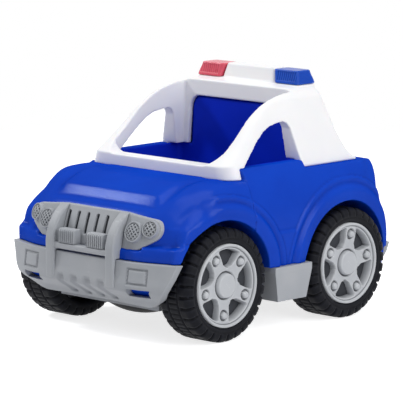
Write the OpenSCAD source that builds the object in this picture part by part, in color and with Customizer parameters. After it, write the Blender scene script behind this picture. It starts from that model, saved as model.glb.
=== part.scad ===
// Nursery toy patrol car: a moulded body and an open-topped cab on a tray chassis, rolling on two axles.
// +X is forward, +Y is the car's left, +Z is up.
// The floor is z = 0, and the origin is midway between the axles.

/* [Wheels] */
// Radius of each tyre over its tread
tyre_r = 38; // [35:0.5:40]
// Width of each tyre
tyre_w = 30; // [26:0.5:32]
// Width of the car over its tyres
track_w = 163; // [160:1:168]
// Rounding of the tyre shoulders
tyre_round = 5; // [3:0.5:6]
// Depth of the notches between the tread blocks
tread_d = 1.8; // [0.8:0.1:2.4]
// Width of the notches between the tread blocks
tread_gap = 2.2; // [1:0.1:3]
// Length of the notches across each shoulder
tread_run = 9; // [6:0.5:11]
// Number of tread blocks around each shoulder
tread_n = 30; // [20:1:36]
// Radius of the seat that holds the rim
rim_r = 27.7; // [26:0.1:29]
// Depth of the rim
rim_d = 12; // [10:0.5:14]
// Width of the raised lip around the rim
rim_lip = 1.8; // [1.2:0.1:2.6]
// Step from the lip down to the face of the spokes
spoke_step = 1.2; // [0.6:0.1:2]
// Thickness of the closed floor behind the spokes
rim_floor = 2.4; // [1.6:0.1:3.4]
// Number of spokes
spoke_n = 5; // [4:1:6]
// Width of each spoke between two windows
spoke_w = 10.4; // [8:0.1:11]
// Angle of the first front spoke above the forward direction
front_spoke_angle = -11; // [-36:1:36]
// Angle of the first rear spoke above the forward direction
rear_spoke_angle = 26; // [-36:1:36]
// Radius of the round cap in the middle of the rim
cap_r = 8.3; // [7:0.1:8.6]
// Width of the groove around the cap
cap_groove = 1.5; // [0.8:0.1:1.8]
// Radius of the ring that the dummy bolts sit on
bolt_ring_r = 19.8; // [18.5:0.1:20.5]
// Radius of the round sink around each dummy bolt
bolt_sink_r = 4.1; // [3.4:0.1:4.4]
// Radius of each dummy bolt
bolt_r = 2.9; // [2:0.1:3.1]
// Radius of the steel axle rods
axle_r = 2; // [1.5:0.1:2.5]

/* [Layout] */
// Distance between the axle centres
wheelbase = 120; // [114:1:132]
// Length from the front axle to the front of the push bar
front_overhang = 58; // [56:0.5:64]
// Length from the rear axle to the back of the rear bumper
rear_overhang = 58; // [56:0.5:64]

/* [Body] */
// Width of the body over its doors
body_w = 158; // [154:1:162]
// Thickness of the moulded walls
wall = 2.3; // [1.8:0.1:3]
// Height of the sill tops, where the body stands on the chassis
sill_z = 44; // [42:0.5:46]
// Height of the lowest edge of the body behind the bumpers
apron_z = 30; // [28:0.5:34]
// Height at which the body's sides start to round inwards
shoulder_z = 60; // [56:0.5:66]
// Height of the door tops
belt_z = 111; // [108:0.5:114]
// Height of the deck that the back of the cab stands on
deck_z = 106; // [104:0.5:107]
// Height of the shelf that the front of the cab stands on
cowl_z = 103.5; // [101:0.5:105]
// Height of the bonnet where it meets the cab
bonnet_rear_z = 105; // [103:0.5:108]
// Height of the bonnet's lower face at its front break
bonnet_front_z = 93.5; // [91:0.5:96]
// Height of the nose edge above the grille
nose_z = 86; // [84:0.5:88]
// How far the middle panel of the bonnet stands up at its front
panel_h = 3.6; // [2:0.1:5]
// Width of the middle panel of the bonnet
panel_w = 96; // [80:1:104]
// Gap between a tyre and its wheel arch
arch_gap = 5; // [4:0.5:6]
// How far the arch flares stand out from the doors
flare_h = 2; // [1:0.1:2.4]
// Width of the flare around each arch
flare_w = 9.5; // [8:0.5:12]
// Width of the softer swell around each arch
swell_w = 16; // [14:0.5:20]
// How far the doors draw in towards the sills
door_tuck = 1.2; // [0.4:0.1:2]
// Width of the shut line in front of each door
shut_w = 1.2; // [0.8:0.1:2]
// Depth of the shut line in front of each door
shut_d = 0.9; // [0.5:0.1:1.2]

/* [Cab] */
// Height of the roof
roof_z = 157.6; // [152:0.5:162]
// Width of the cab at its foot
cab_w = 136.6; // [132:0.5:139]
// Width of the cab at its roof
roof_w = 104; // [98:0.5:108]
// Length from the cab's front foot back to the axle midpoint
cowl_x = 44.5; // [40:0.5:47]
// Depth of the bar at the foot of the windscreen opening
cowl_d = 11.5; // [9:0.5:13]
// Height of the bar at the foot of the windscreen opening
cowl_h = 8.5; // [6:0.5:11]
// Length from the axle midpoint back to the front foot of the rear pillars
pillar_x = 27; // [24:0.5:30]
// Length from the axle midpoint back to the front of the seat hoop
hoop_x = 34; // [32:0.5:37]
// Length from the axle midpoint back to the cab's rear foot
cab_back_x = 87; // [84:0.5:90]
// Length from the axle midpoint back to the rear edge of the roof
roof_back_x = 63; // [61:0.5:67]
// Height of the top of the side windows
window_z = 137.2; // [133:0.5:141]
// Half-width between the side rails at the windscreen foot
rail_low_y = 52; // [49:0.5:55]
// Half-width between the side rails at the roof
rail_top_y = 47.5; // [42:0.5:48]
// Half-width of the seat opening in the hoop at its foot
hoop_low_y = 50; // [46:0.5:52]
// Half-width of the seat opening in the hoop at its top
hoop_top_y = 45.5; // [41:0.5:46]
// Height of the top of the seat opening in the hoop
hoop_z = 145.4; // [140:0.5:147]

/* [Light bar] */
// Length across the car of the light bar
bar_w = 95.4; // [90:0.2:97]
// Depth of the light bar at its foot
bar_d = 15.2; // [13:0.2:16]
// Height of the light bar
bar_h = 10.4; // [9:0.2:12]
// Length from the axle midpoint back to the front foot of the light bar
bar_x = 45; // [43:0.5:46]
// How far each end and face of the light bar leans in
bar_lean = 2.8; // [1:0.1:4]
// Width of the white block between the lenses
bar_mid_w = 50; // [44:0.5:54]
// Width of the ribs on the fronts of the lenses
lens_rib = 1.6; // [1.2:0.1:2.4]

/* [Nose] */
// Height of the lower edge of the front bumper
bumper_low_z = 24.5; // [23:0.5:28]
// Height of the front bumper
bumper_h = 31.5; // [28:0.5:33]
// Width of the front bumper
bumper_w = 155.6; // [150:0.2:160]
// Width of the rear bumper
rear_w = 147; // [140:1:152]
// Height of the rear bumper
rear_h = 21.5; // [18:0.5:23]
// Thickness of the bumper mouldings
bumper_t = 6; // [4:0.2:7]
// Half-width of the flat middle of the nose, before its corners sweep back
flat_y = 50; // [46:0.5:54]
// Length of the recessed frames on the bumper
frame_w = 16; // [13:0.5:18]
// Height of the recessed frames on the bumper
frame_h = 11; // [9:0.5:12]
// Length of the slanted windows in the bumper
slot_w = 18; // [16:0.5:22]
// Height of the slanted windows in the bumper
slot_h = 5.5; // [4.5:0.5:7]
// Thickness of the grille moulding
grille_t = 2.2; // [1.8:0.1:3]
// Width of the grille moulding over its lamp pods
grille_w = 126; // [120:1:130]
// Number of upright slots in the grille
grille_n = 6; // [4:2:8]
// Spacing of the upright slots in the grille
grille_pitch = 9; // [8:0.1:9.4]
// Width of each upright slot in the grille
grille_slot = 2.7; // [2:0.1:3.4]
// Radius of the inner headlamps
lamp_in_r = 7.2; // [6:0.1:7.6]
// Radius of the outer headlamps
lamp_out_r = 6; // [5:0.1:6.6]
// Distance of each push-bar upright from the middle
upright_y = 28.3; // [27:0.1:31]
// Width of each push-bar upright
upright_w = 7.8; // [6:0.1:9]
// Width of each spot lamp on the push bar
spot_w = 15.4; // [14:0.2:16]
// Height of each spot lamp on the push bar
spot_h = 10; // [8:0.2:11]
// Number of ribs on each spot lamp
spot_n = 9; // [6:1:11]

/* [Chassis] */
// Height of the underside of the chassis tray
tray_z = 20.5; // [19:0.5:23]
// Thickness of the chassis tray
tray_t = 3; // [2.4:0.1:3.6]
// Height of the cockpit floor
floor_z = 58; // [56:0.5:62]
// Radius of the round axle housings under the car
drum_r = 27.6; // [24:0.2:29]
// Width of the round axle housings
drum_w = 44; // [36:1:48]
// Radius of the bearing bosses beside the wheels
boss_r = 6.5; // [5:0.1:8]
// Radius of the chassis screws
screw_r = 1.5; // [1.2:0.1:1.8]
// Radius of the chassis screw heads
screw_head_r = 3; // [2.4:0.1:3.4]

/* [Fits] */
// Running clearance around each axle in the chassis
axle_clear = 0.05; // [0.02:0.01:0.1]
// Clearance between a wheel hub and its axle, and a rim and its tyre
press_clear = 0.02; // [0.01:0.01:0.05]
// Side play of each wheelset in the chassis
side_play = 0.6; // [0.3:0.1:1]
// Clearance around pegs, screws and seams
fit = 0.3; // [0.15:0.05:0.5]

/* [Hidden] */

// Overrun of every cut
over = 4;
$fn = 48;

// Axle places and wheel places
front_axle = wheelbase / 2;
rear_axle = -wheelbase / 2;
axle_z = tyre_r;
wheel_in_y = track_w / 2 - tyre_w;
arch_r = tyre_r + arch_gap;
half_w = body_w / 2;

// Smooth helpers
function mix(a, b, t) = a + (b - a) * t;
function span(t, x, i = 0) = i >= len(t) - 2 || x < t[i + 1][0] ? i : span(t, x, i + 1);
function rise(t, i) = (t[i + 1][1] - t[i][1]) / (t[i + 1][0] - t[i][0]);
function join_slope(a, b) = a * b <= 0 ? 0 : 2 * a * b / (a + b);
function slope(t, i) =
    i == 0 ? rise(t, 0) :
    i == len(t) - 1 ? rise(t, i - 1) :
    join_slope(rise(t, i - 1), rise(t, i));
function hermite(a, b, m, n, s) =
    a + m * s + (3 * (b - a) - 2 * m - n) * s ^ 2 + (2 * (a - b) + m + n) * s ^ 3;
// Smooth curve through rows of [place, value] that never overshoots them
function curve_in(t, x, i) =
    let (w = t[i + 1][0] - t[i][0])
    hermite(t[i][1], t[i + 1][1], slope(t, i) * w, slope(t, i + 1) * w, (x - t[i][0]) / w);
function curve(t, x) =
    x <= t[0][0] ? t[0][1] :
    x >= t[len(t) - 1][0] ? t[len(t) - 1][1] :
    curve_in(t, x, span(t, x));
function centre(r) = [for (k = [0 : 2]) [for (p = r) p[k]] * [for (p = r) 1 / len(r)]];

// Closed solid through rings of points that run along it, closed by a fan at each end
module skin(rings) {
    n = len(rings[0]);
    m = len(rings);
    sides = [for (i = [0 : m - 2], j = [0 : n - 1])
        each [[i * n + j, (i + 1) * n + (j + 1) % n, i * n + (j + 1) % n],
            [i * n + j, (i + 1) * n + j, (i + 1) * n + (j + 1) % n]]];
    first = [for (j = [0 : n - 1]) [m * n, j, (j + 1) % n]];
    last = [for (j = [0 : n - 1]) [m * n + 1, (m - 1) * n + (j + 1) % n, (m - 1) * n + j]];
    points = concat([for (r = rings) each r], [centre(rings[0]), centre(rings[m - 1])]);
    polyhedron(points, concat(sides, first, last), convexity = 10);
}

// Rectangle with true round corners, from its low corner
module round_rect(size, r) {
    translate([r, 0]) square([size[0] - 2 * r, size[1]]);
    translate([0, r]) square([size[0], size[1] - 2 * r]);
    for (x = [r, size[0] - r], y = [r, size[1] - r])
        translate([x, y]) circle(r);
}

// Outline drawn in X and Z, spread equally to both sides of the car
module across(w) rotate([90, 0, 0]) linear_extrude(w, center = true) children();

// Outline drawn in Y and Z, pushed forward from x
module forward(x, d) translate([x, 0, 0]) rotate([90, 0, 90]) linear_extrude(d) children();

// Shaft across the car through [x, z]
module crosswise(x, z, y1, y2) translate([x, y1, z]) rotate([-90, 0, 0]) linear_extrude(y2 - y1) children();

// Wheels: the local axis points out of the car, from the inner face of the tyre

hub_r = 7;
web_in = 4;
web_t = 3;
bead = 2.6;
bead_t = 4;
tyre_wall = 4.4;
inner_lip_r = tyre_r - tyre_wall - bead;
seat_z = tyre_w - rim_d;
tread_groove = 1;
tread_groove_w = 2;
shoulder_n = 5;
sidewall_drop = 0.8;

function shoulder(z, way, order) = [for (k = order)
    [tyre_r - tyre_round * (1 - cos(90 * k / shoulder_n)), z + way * tyre_round * sin(90 * k / shoulder_n)]];
tyre_profile = concat(
    [[axle_r + press_clear, 0], [hub_r, 0], [hub_r, web_in], [inner_lip_r, web_in], [inner_lip_r, 0]],
    shoulder(tyre_round, -1, [shoulder_n : -1 : 0]),
    [[tyre_r, (tyre_w - tread_groove_w) / 2 - tread_groove]],
    [[tyre_r - tread_groove, (tyre_w - tread_groove_w) / 2]],
    [[tyre_r - tread_groove, (tyre_w + tread_groove_w) / 2]],
    [[tyre_r, (tyre_w + tread_groove_w) / 2 + tread_groove]],
    shoulder(tyre_w - tyre_round, 1, [0 : shoulder_n]),
    [[rim_r + press_clear, tyre_w - sidewall_drop], [rim_r + press_clear, seat_z], [rim_r - bead, seat_z]],
    [[rim_r - bead, seat_z - bead_t], [tyre_r - tyre_wall, seat_z - bead_t]],
    [[tyre_r - tyre_wall, web_in + web_t], [hub_r, web_in + web_t], [hub_r, seat_z]],
    [[axle_r + press_clear, seat_z]]);

module at_wheel(x, side)
    translate([x, side * wheel_in_y, axle_z]) rotate([-90 * side, 0, 0]) children();

module tread_cut(z, turn)
    for (i = [0 : tread_n - 1])
        rotate((i + turn) * 360 / tread_n)
            translate([tyre_r - tread_d, -tread_gap / 2, z])
                cube([tread_d + over, tread_gap, tread_run + over]);

module tyre(x, side)
    color("#1e1e24") at_wheel(x, side) difference() {
        rotate_extrude($fn = 96) polygon(tyre_profile);
        tread_cut(-over, 0);
        tread_cut(tyre_w - tread_run, 1 / 2);
    }

window_r = 2.2;
window_ring_r = rim_r - rim_lip - window_r - bead / 4;
window_tip_r = cap_r + cap_groove + bead + window_r;
window_angle = 180 / spoke_n - asin((spoke_w / 2 + window_r) / window_ring_r);
bolt_sink_d = 1.1;
cap_rise = 0.4;
pocket_d = 3;

module rim_window()
    hull() {
        translate([window_tip_r, 0]) circle(window_r, $fn = 24);
        for (a = [-1 : 1 / 2 : 1])
            rotate(a * window_angle) translate([window_ring_r, 0]) circle(window_r, $fn = 24);
    }

module rim(x, side, angle)
    color("#b2b5b8") at_wheel(x, side) translate([0, 0, seat_z]) rotate(-side * angle) {
        face_z = rim_d - spoke_step;
        difference() {
            union() {
                cylinder(r = rim_r, h = rim_d);
                cylinder(r = cap_r, h = rim_d + cap_rise);
            }
            translate([0, 0, face_z]) difference() {
                cylinder(r = rim_r - rim_lip, h = over);
                translate([0, 0, -over]) cylinder(r = cap_r, h = 3 * over);
            }
            translate([0, 0, face_z - bolt_sink_d]) difference() {
                cylinder(r = cap_r + cap_groove, h = over);
                translate([0, 0, -over]) cylinder(r = cap_r, h = 3 * over);
            }
            for (i = [0 : spoke_n - 1]) {
                rotate((i + 1 / 2) * 360 / spoke_n)
                    translate([0, 0, rim_floor]) linear_extrude(rim_d) rim_window();
                rotate(i * 360 / spoke_n)
                    translate([bolt_ring_r, 0, face_z - bolt_sink_d]) cylinder(r = bolt_sink_r, h = over);
            }
            translate([0, 0, -over]) cylinder(r = axle_r + fit, h = over + pocket_d);
        }
        for (i = [0 : spoke_n - 1])
            rotate(i * 360 / spoke_n) translate([bolt_ring_r, 0, face_z - bolt_sink_d])
                intersection() {
                    scale(bolt_r) sphere(1);
                    translate([0, 0, bolt_r / 2]) cube([2 * bolt_r, 2 * bolt_r, bolt_r], center = true);
                }
    }

axle_end = wheel_in_y + seat_z + pocket_d / 2;
module axle(x)
    color("#c8cacc")
        crosswise(x, axle_z, -axle_end, axle_end) circle(axle_r);

// Body: cross-sections that follow the length of the car, between a bowed nose and a stepped tail

tail_gap = 4;
tail_x = -wheelbase / 2 - rear_overhang + tail_gap;
nose_gap = 10;
nose_x = wheelbase / 2 + front_overhang - nose_gap;
nose_rake = 8;
fender_back = 8.5;
sweep_share = 0.41;
sweep_soft = 10;
tail_lean = 10.5;
tail_bow = 7.5;
tail_drop = 8;
tail_run = 13;
crown_rise = 15;
cowl_run = 13;
bonnet_break = 13;
end_round = 4;
tail_lean_shares = [[0, 0], [0.18, 0.11], [0.39, 0.37], [0.565, 0.76], [0.68, 1], [1, 1.06]];
rake_shares = [[0, 0], [0.35, 0.05], [0.6, 0.28], [0.8, 0.6], [1, 1], [1.4, 1.5]];
width_shares = [[0, 0.93], [0.1, 0.97], [0.25, 1], [0.62, 1], [0.78, 0.985], [0.9, 0.965], [1, 0.93]];
bonnet_share = 0.72;
arc_n = 10;
low_n = 3;
body_n = 28;

// How far the front of the car sweeps back at y, beyond its flat middle
function sweep(y) = sweep_share * (abs(y) - flat_y + sqrt((abs(y) - flat_y) ^ 2 + sweep_soft ^ 2)) / 2;
function rake(z) = nose_rake * curve(rake_shares, (z - sill_z) / (nose_z - sill_z));
function nose_face(y, z) = nose_x - rake(z) - min(sweep(y), fender_back);
function tail_face(y, z) =
    tail_x + tail_bow * (abs(y) / half_w) ^ 3
    + tail_lean * curve(tail_lean_shares, (z - sill_z) / (deck_z - sill_z));
function along(u, y, z) =
    u > front_axle ? mix(front_axle, nose_face(y, z), (u - front_axle) / (nose_x - front_axle)) :
    u < rear_axle ? mix(rear_axle, tail_face(y, z), (u - rear_axle) / (tail_x - rear_axle)) :
    u;

crown_rows = [
    [tail_x, deck_z + tail_drop / 2],
    [tail_x + tail_run, deck_z + tail_drop],
    [tail_x + 2 * tail_run, belt_z + crown_rise],
    [cowl_x - cowl_run, belt_z + crown_rise],
    [cowl_x, bonnet_rear_z],
    [mix(cowl_x, nose_x - bonnet_break, 1 / 2), mix(bonnet_front_z, bonnet_rear_z, bonnet_share)],
    [nose_x - bonnet_break, bonnet_front_z],
    [nose_x, nose_z]];
square_shares = [1, 0.57, 0.53, 1, 0.92, 0.67];
corner_square = 6;
square_rows = [
    [tail_x, square_shares[0]], [rear_axle, square_shares[1]], [cowl_x - cowl_run, square_shares[2]],
    [cowl_x, square_shares[3]], [front_axle, square_shares[4]], [nose_x, square_shares[5]]];
function crown(u) = curve(crown_rows, u);
function body_half(u) = half_w * curve(width_shares, (u - tail_x) / (nose_x - tail_x));
function tuck(z) = door_tuck * max(0, (shoulder_z - z) / (shoulder_z - sill_z)) ^ 2;
function body_side(u, inset, low_z) =
    let (w = body_half(u) - inset, h = crown(u) - inset - shoulder_z)
    let (e = 2 / corner_square / curve(square_rows, u))
    concat(
        [for (k = [0 : low_n - 1]) let (z = mix(low_z, shoulder_z, k / low_n)) [w - tuck(z), z]],
        [for (k = [0 : arc_n]) let (a = 90 * k / arc_n) [w * cos(a) ^ e, shoulder_z + h * sin(a) ^ e]]);
function both(side) = concat(side, [for (k = [len(side) - 2 : -1 : 0]) [-side[k][0], side[k][1]]]);
function body_ring(u, inset, low_z, share = 1) =
    let (mid_z = (apron_z + crown(u)) / 2)
    [for (p = both(body_side(u, inset, low_z)))
        let (y = p[0] * share, z = mix(mid_z, p[1], share)) [along(u, y, z), y, z]];
round_shares = [0, 1 / 4, 1 / 2, 3 / 4, 1];
tail_fan_shares = [0.35, 0.75];
nose_fan_shares = [0.8, 0.55, 0.3];
function main_u(share) = mix(tail_x + end_round, nose_x - end_round, share);
function curl(share) = end_round * (1 - cos(90 * share));
body_rings = concat(
    [for (s = tail_fan_shares) body_ring(tail_x, end_round, apron_z, s)],
    [for (s = round_shares) body_ring(tail_x + curl(s), curl(1 - s), apron_z)],
    [for (i = [1 : body_n - 1]) body_ring(main_u(i / body_n), 0, apron_z)],
    [for (s = round_shares) body_ring(nose_x - curl(1 - s), curl(s), apron_z)],
    [for (s = nose_fan_shares) body_ring(nose_x, end_round, apron_z, s)]);
inner_rings = [for (i = [0 : body_n / 2]) body_ring(main_u(2 * i / body_n), wall, apron_z - over)];

// Raised middle panel of the bonnet, with a bevel across its front
panel_bevel = 6;
panel_sink = 1.3;
panel_n = 6;
panel_rise_share = 0.25;
panel_square = 7;
panel_end = nose_x - bonnet_break;
function panel_ring(u, lift) =
    let (low = crown(u) - panel_sink, high = crown(u) + lift)
    [for (k = [0 : 2 * arc_n])
        let (a = 90 * k / arc_n, w = panel_w / 2, e = 2 / panel_square, c = cos(a))
        let (y = w * sign(c) * abs(c) ^ e, z = low + (high - low) * abs(sin(a)) ^ e)
        [along(u, y, z), y, z]];
panel_rings = concat(
    [for (i = [0 : panel_n])
        let (s = i / panel_n)
        panel_ring(mix(cowl_x, panel_end, s), panel_h * mix(panel_rise_share, 1, s))],
    [panel_ring(panel_end + panel_bevel, -panel_sink / 2)]);

// Places that the body shares with what it carries
tub_front_x = cowl_x - cowl_d - wall;
hoop_setback = 8;
tub_back_x = -hoop_x - hoop_setback;
tub_y = 60;
foot_x = cowl_x - cowl_d;
post_x = 29;
post_r = 4;
tray_in = 5;
tray_y = wheel_in_y - tray_in;
post_y = tray_y - tray_t - post_r - fit;
gusset = 2.4;
peg_r = 3.5;
bumper_set = 1;
bumper_x = wheelbase / 2 + front_overhang - bumper_set;
bumper_reach = 18.5;
bumper_peg_y = 38;
bumper_peg_z = 50;
rear_peg_z = 38;
grille_peg_y = 46;
grille_peg_z = 72;
cab_peg_x = 70;
cab_peg_in = 6;
cab_peg_y = cab_w / 2 - cab_peg_in;
peg_run = 10;

// Everything above the edges that the cab stands on
tail_dip = 4;
module belt_cut(lower = 0)
    translate([0, 0, -lower]) across(2 * body_w) polygon([
        [tail_x - over, deck_z - tail_dip], [-cab_back_x, deck_z], [-pillar_x, deck_z],
        [-pillar_x, belt_z], [foot_x - fit, belt_z], [foot_x - fit, cowl_z],
        [cowl_x + fit, cowl_z], [cowl_x + fit, 2 * roof_z], [tail_x - over, 2 * roof_z]]);

module each_wheel()
    for (x = [front_axle, rear_axle], s = [-1, 1])
        translate([x, 0, axle_z]) mirror([0, s < 0 ? 1 : 0, 0]) rotate([-90, 0, 0]) children();

well_in = 2;
well_y = wheel_in_y - well_in;
ledge_gap = 0.7;
ledge_z = axle_z + arch_r + wall + ledge_gap;
swell_share = 0.5;
band_shares = [[0, 1], [0.6, 1], [0.8, 1.4], [1, 2.2]];
ledge_top_z = 66.3;
ledge_out = 2;
ledge_n = 6;

// Band around the arches that follows the side of the body at a small height above it
function band_ring(u, h) =
    body_ring(u, -h * curve(band_shares, (u - tail_x) / (nose_x - tail_x)), sill_z);
module body_band(w, h)
    intersection() {
        each_wheel() translate([0, 0, well_y]) cylinder(r = arch_r + w, h = body_w, $fn = 64);
        skin([for (i = [0 : body_n / 2]) band_ring(main_u(2 * i / body_n), h)]);
    }

// Step across the nose that the flares run into, below the grille
module nose_ledge()
    difference() {
        intersection() {
            skin([for (i = [0 : ledge_n])
                band_ring(mix(front_axle, nose_x + ledge_out, i / ledge_n), flare_h)]);
            translate([front_axle, -body_w, sill_z]) cube([front_overhang, 2 * body_w, ledge_top_z - sill_z]);
        }
        forward(nose_x - nose_rake - fender_back, 2 * front_overhang) grille_outline(fit);
    }

module screw_posts()
    for (x = [-post_x, post_x], s = [-1, 1]) {
        translate([x, s * post_y, tray_z + tray_t])
            cylinder(r = post_r, h = floor_z - wall - fit - tray_z - tray_t, $fn = 32);
        hull() {
            translate([x - gusset / 2, s * post_y - gusset / 2, sill_z])
                cube([gusset, gusset, floor_z - wall - fit - sill_z]);
            translate([x - gusset / 2, s * well_y - gusset / 2, sill_z])
                cube([gusset, gusset, floor_z - wall - fit - sill_z]);
        }
    }

// Ribs that carry the shelf under the foot of the windscreen
rib_h = 12;
rib_y = 40;
module cowl_ribs()
    for (s = [-1, 1])
        hull() {
            translate([tub_front_x + fit, s * rib_y, cowl_z - wall - fit])
                cube([cowl_d + 2 * wall, gusset, wall]);
            translate([tub_front_x + fit + cowl_d, s * rib_y, cowl_z - wall - rib_h])
                cube([gusset, gusset, rib_h]);
        }

module cockpit_hole(grow = 0)
    hull()
        for (x = [tub_back_x, tub_front_x], s = [-1, 1])
            translate([x - sign(x) * (post_r - grow), s * (tub_y - post_r + grow), ledge_z - tub_wall - fit])
                cylinder(r = post_r, h = roof_z, $fn = 32);

module body_shell()
    color("#1746c0") difference() {
        union() {
            difference() {
                union() {
                    skin(body_rings);
                    skin(panel_rings);
                    body_band(swell_w, flare_h * swell_share);
                    body_band(flare_w, flare_h);
                    nose_ledge();
                }
                difference() {
                    skin(inner_rings);
                    belt_cut(wall);
                    each_wheel() translate([0, 0, well_y - wall]) cylinder(r = arch_r + wall, h = body_w);
                }
                translate([tail_x + 2 * end_round + tail_bow, -body_w, 0])
                    cube([nose_x - tail_x - 4 * end_round - 2 * tail_bow, 2 * body_w, sill_z]);
            }
            screw_posts();
            cowl_ribs();
        }
        belt_cut();
        each_wheel() {
            translate([0, 0, well_y]) cylinder(r = arch_r, h = body_w, $fn = 96);
            cylinder(r = boss_r + fit, h = body_w);
        }
        cockpit_hole(fit);
        skin([for (t = bumper_row_shares) bumper_ring(t, bumper_z(t, fit), front_overhang, over)]);
        skin([for (t = rear_row_shares) rear_ring(t, rear_z(t, fit), rear_overhang, over)]);
        // Shut lines in front of the doors
        for (s = [-1, 1])
            hull()
                for (z = [shoulder_z, belt_z + over])
                    translate([foot_x - fit, s * (half_w * curve(door_lean_shares, z / belt_z) + shut_d), z])
                        cube([shut_w, 4 * shut_d, shut_w], center = true);
        for (s = [-1, 1], x = [-post_x, post_x])
            translate([x, s * post_y, 0]) cylinder(r = screw_r + fit, h = floor_z - 2 * wall, $fn = 24);
        for (s = [-1, 1]) {
            peg(nose_x, s * bumper_peg_y, bumper_peg_z, peg_r + fit);
            peg(nose_x, s * grille_peg_y, grille_peg_z, peg_r + fit);
            peg(tail_x, s * bumper_peg_y, rear_peg_z, peg_r + fit);
            translate([-cab_peg_x, s * cab_peg_y, deck_z - peg_run])
                cylinder(r = peg_r + fit, h = roof_z, $fn = 32);
        }
    }
door_lean_shares = [[0.5, 1], [0.75, 0.995], [0.86, 0.965], [0.95, 0.89], [1.04, 0.79]];

// Peg hole along the car, through the wall at x
module peg(x, y, z, r)
    translate([x - peg_run * 2, y, z]) rotate([0, 90, 0]) cylinder(r = r, h = peg_run * 4, $fn = 32);

// Cab: level slices between a raked front and a swept back, with the sides leaning in

cab_h = roof_z - cowl_z;
cab_front_shares = [[0, 1], [0.16, 1], [0.2, 0.97], [0.27, 0.91], [0.434, 0.775], [0.656, 0.63],
    [0.837, 0.469], [0.92, 0.325], [0.98, 0.168], [1, 0.06]];
cab_back_shares = [[0, 1], [0.04, 1], [0.08, 0.88], [0.16, 0.66], [0.32, 0.46], [0.57, 0.24],
    [0.8, 0.09], [0.95, 0], [1, -0.12]];
cab_round_shares = [[0, 0], [0.86, 0], [0.94, 0.25], [0.98, 0.6], [1, 1]];
cab_round = 7;
cab_corner = 7;
cab_foot_corner = 13;
cab_corner_shares = [[0, 1], [0.16, 1], [0.45, 0]];
cab_n = 26;
corner_n = 5;
function cab_half(t) = mix(cab_w, roof_w, t) / 2 - cab_round * curve(cab_round_shares, t);
function cab_front(t) = mix(-bar_x, cowl_x, curve(cab_front_shares, t));
function cab_back(t) = -mix(roof_back_x, cab_back_x, curve(cab_back_shares, t));
function slice(x1, x2, y, r, q, z) = concat(
    [for (k = [0 : corner_n]) let (a = 90 * k / corner_n) [x2 - q + q * cos(a), y - q + q * sin(a), z]],
    [for (k = [0 : corner_n]) let (a = 90 + 90 * k / corner_n) [x1 + r + r * cos(a), y - r + r * sin(a), z]],
    [for (k = [0 : corner_n]) let (a = 180 + 90 * k / corner_n) [x1 + r + r * cos(a), r - y + r * sin(a), z]],
    [for (k = [0 : corner_n]) let (a = 90 * k / corner_n) [x2 - q + q * sin(a), q - y - q * cos(a), z]]);
cab_rings = [for (i = [0 : cab_n])
    let (t = i / cab_n, q = mix(cab_corner, cab_foot_corner, curve(cab_corner_shares, t)))
    slice(cab_back(t), cab_front(t), cab_half(t), cab_corner, q, mix(cowl_z, roof_z, t))];

window_shares = [[-0.06, -0.3], [0.02, 0.4], [0.063, 0.86], [0.1, 0.96], [0.156, 1], [0.242, 0.985],
    [0.381, 0.942], [0.4975, 0.854], [0.632, 0.688], [0.85, 0.347], [1, 0.085], [1, -0.3]];
window_points = [for (p = window_shares)
    [mix(-pillar_x, foot_x, p[0]), mix(cowl_z, window_z, p[1])]];
cab_wall = 3;
hoop_t = 4;
hoop_round = 9;
lens_base = 0.4;
lens_z = roof_z + lens_base;
gate_round = 1;
room_share = 0.3;
lens_seat = 3;
lens_peg_y = 36;
lens_proud = 2;
mid_lean = 2.4;

room_back = cab_back(room_share) + cab_wall;
room_half = cab_half(room_share) - cab_wall;

// Upright opening between two half-widths, rounded at its corners
module gate(y1, z1, y2, z2, r)
    hull()
        for (s = [-1, 1]) {
            translate([s * (y1 - r), z1 + r]) circle(r, $fn = 32);
            translate([s * (y2 - r), z2 - r]) circle(r, $fn = 32);
        }

// Straight-sided block that leans in towards its top
bar_foot = 1;
module lean_block(x, y1, y2, z, d, h, lean1, lean2)
    hull() {
        translate([x - d, y1, z]) cube([d, y2 - y1, bar_foot]);
        translate([x - d + bar_lean, y1 + lean1, z + h - bar_foot])
            cube([d - 2 * bar_lean, y2 - y1 - lean1 - lean2, bar_foot]);
    }

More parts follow.
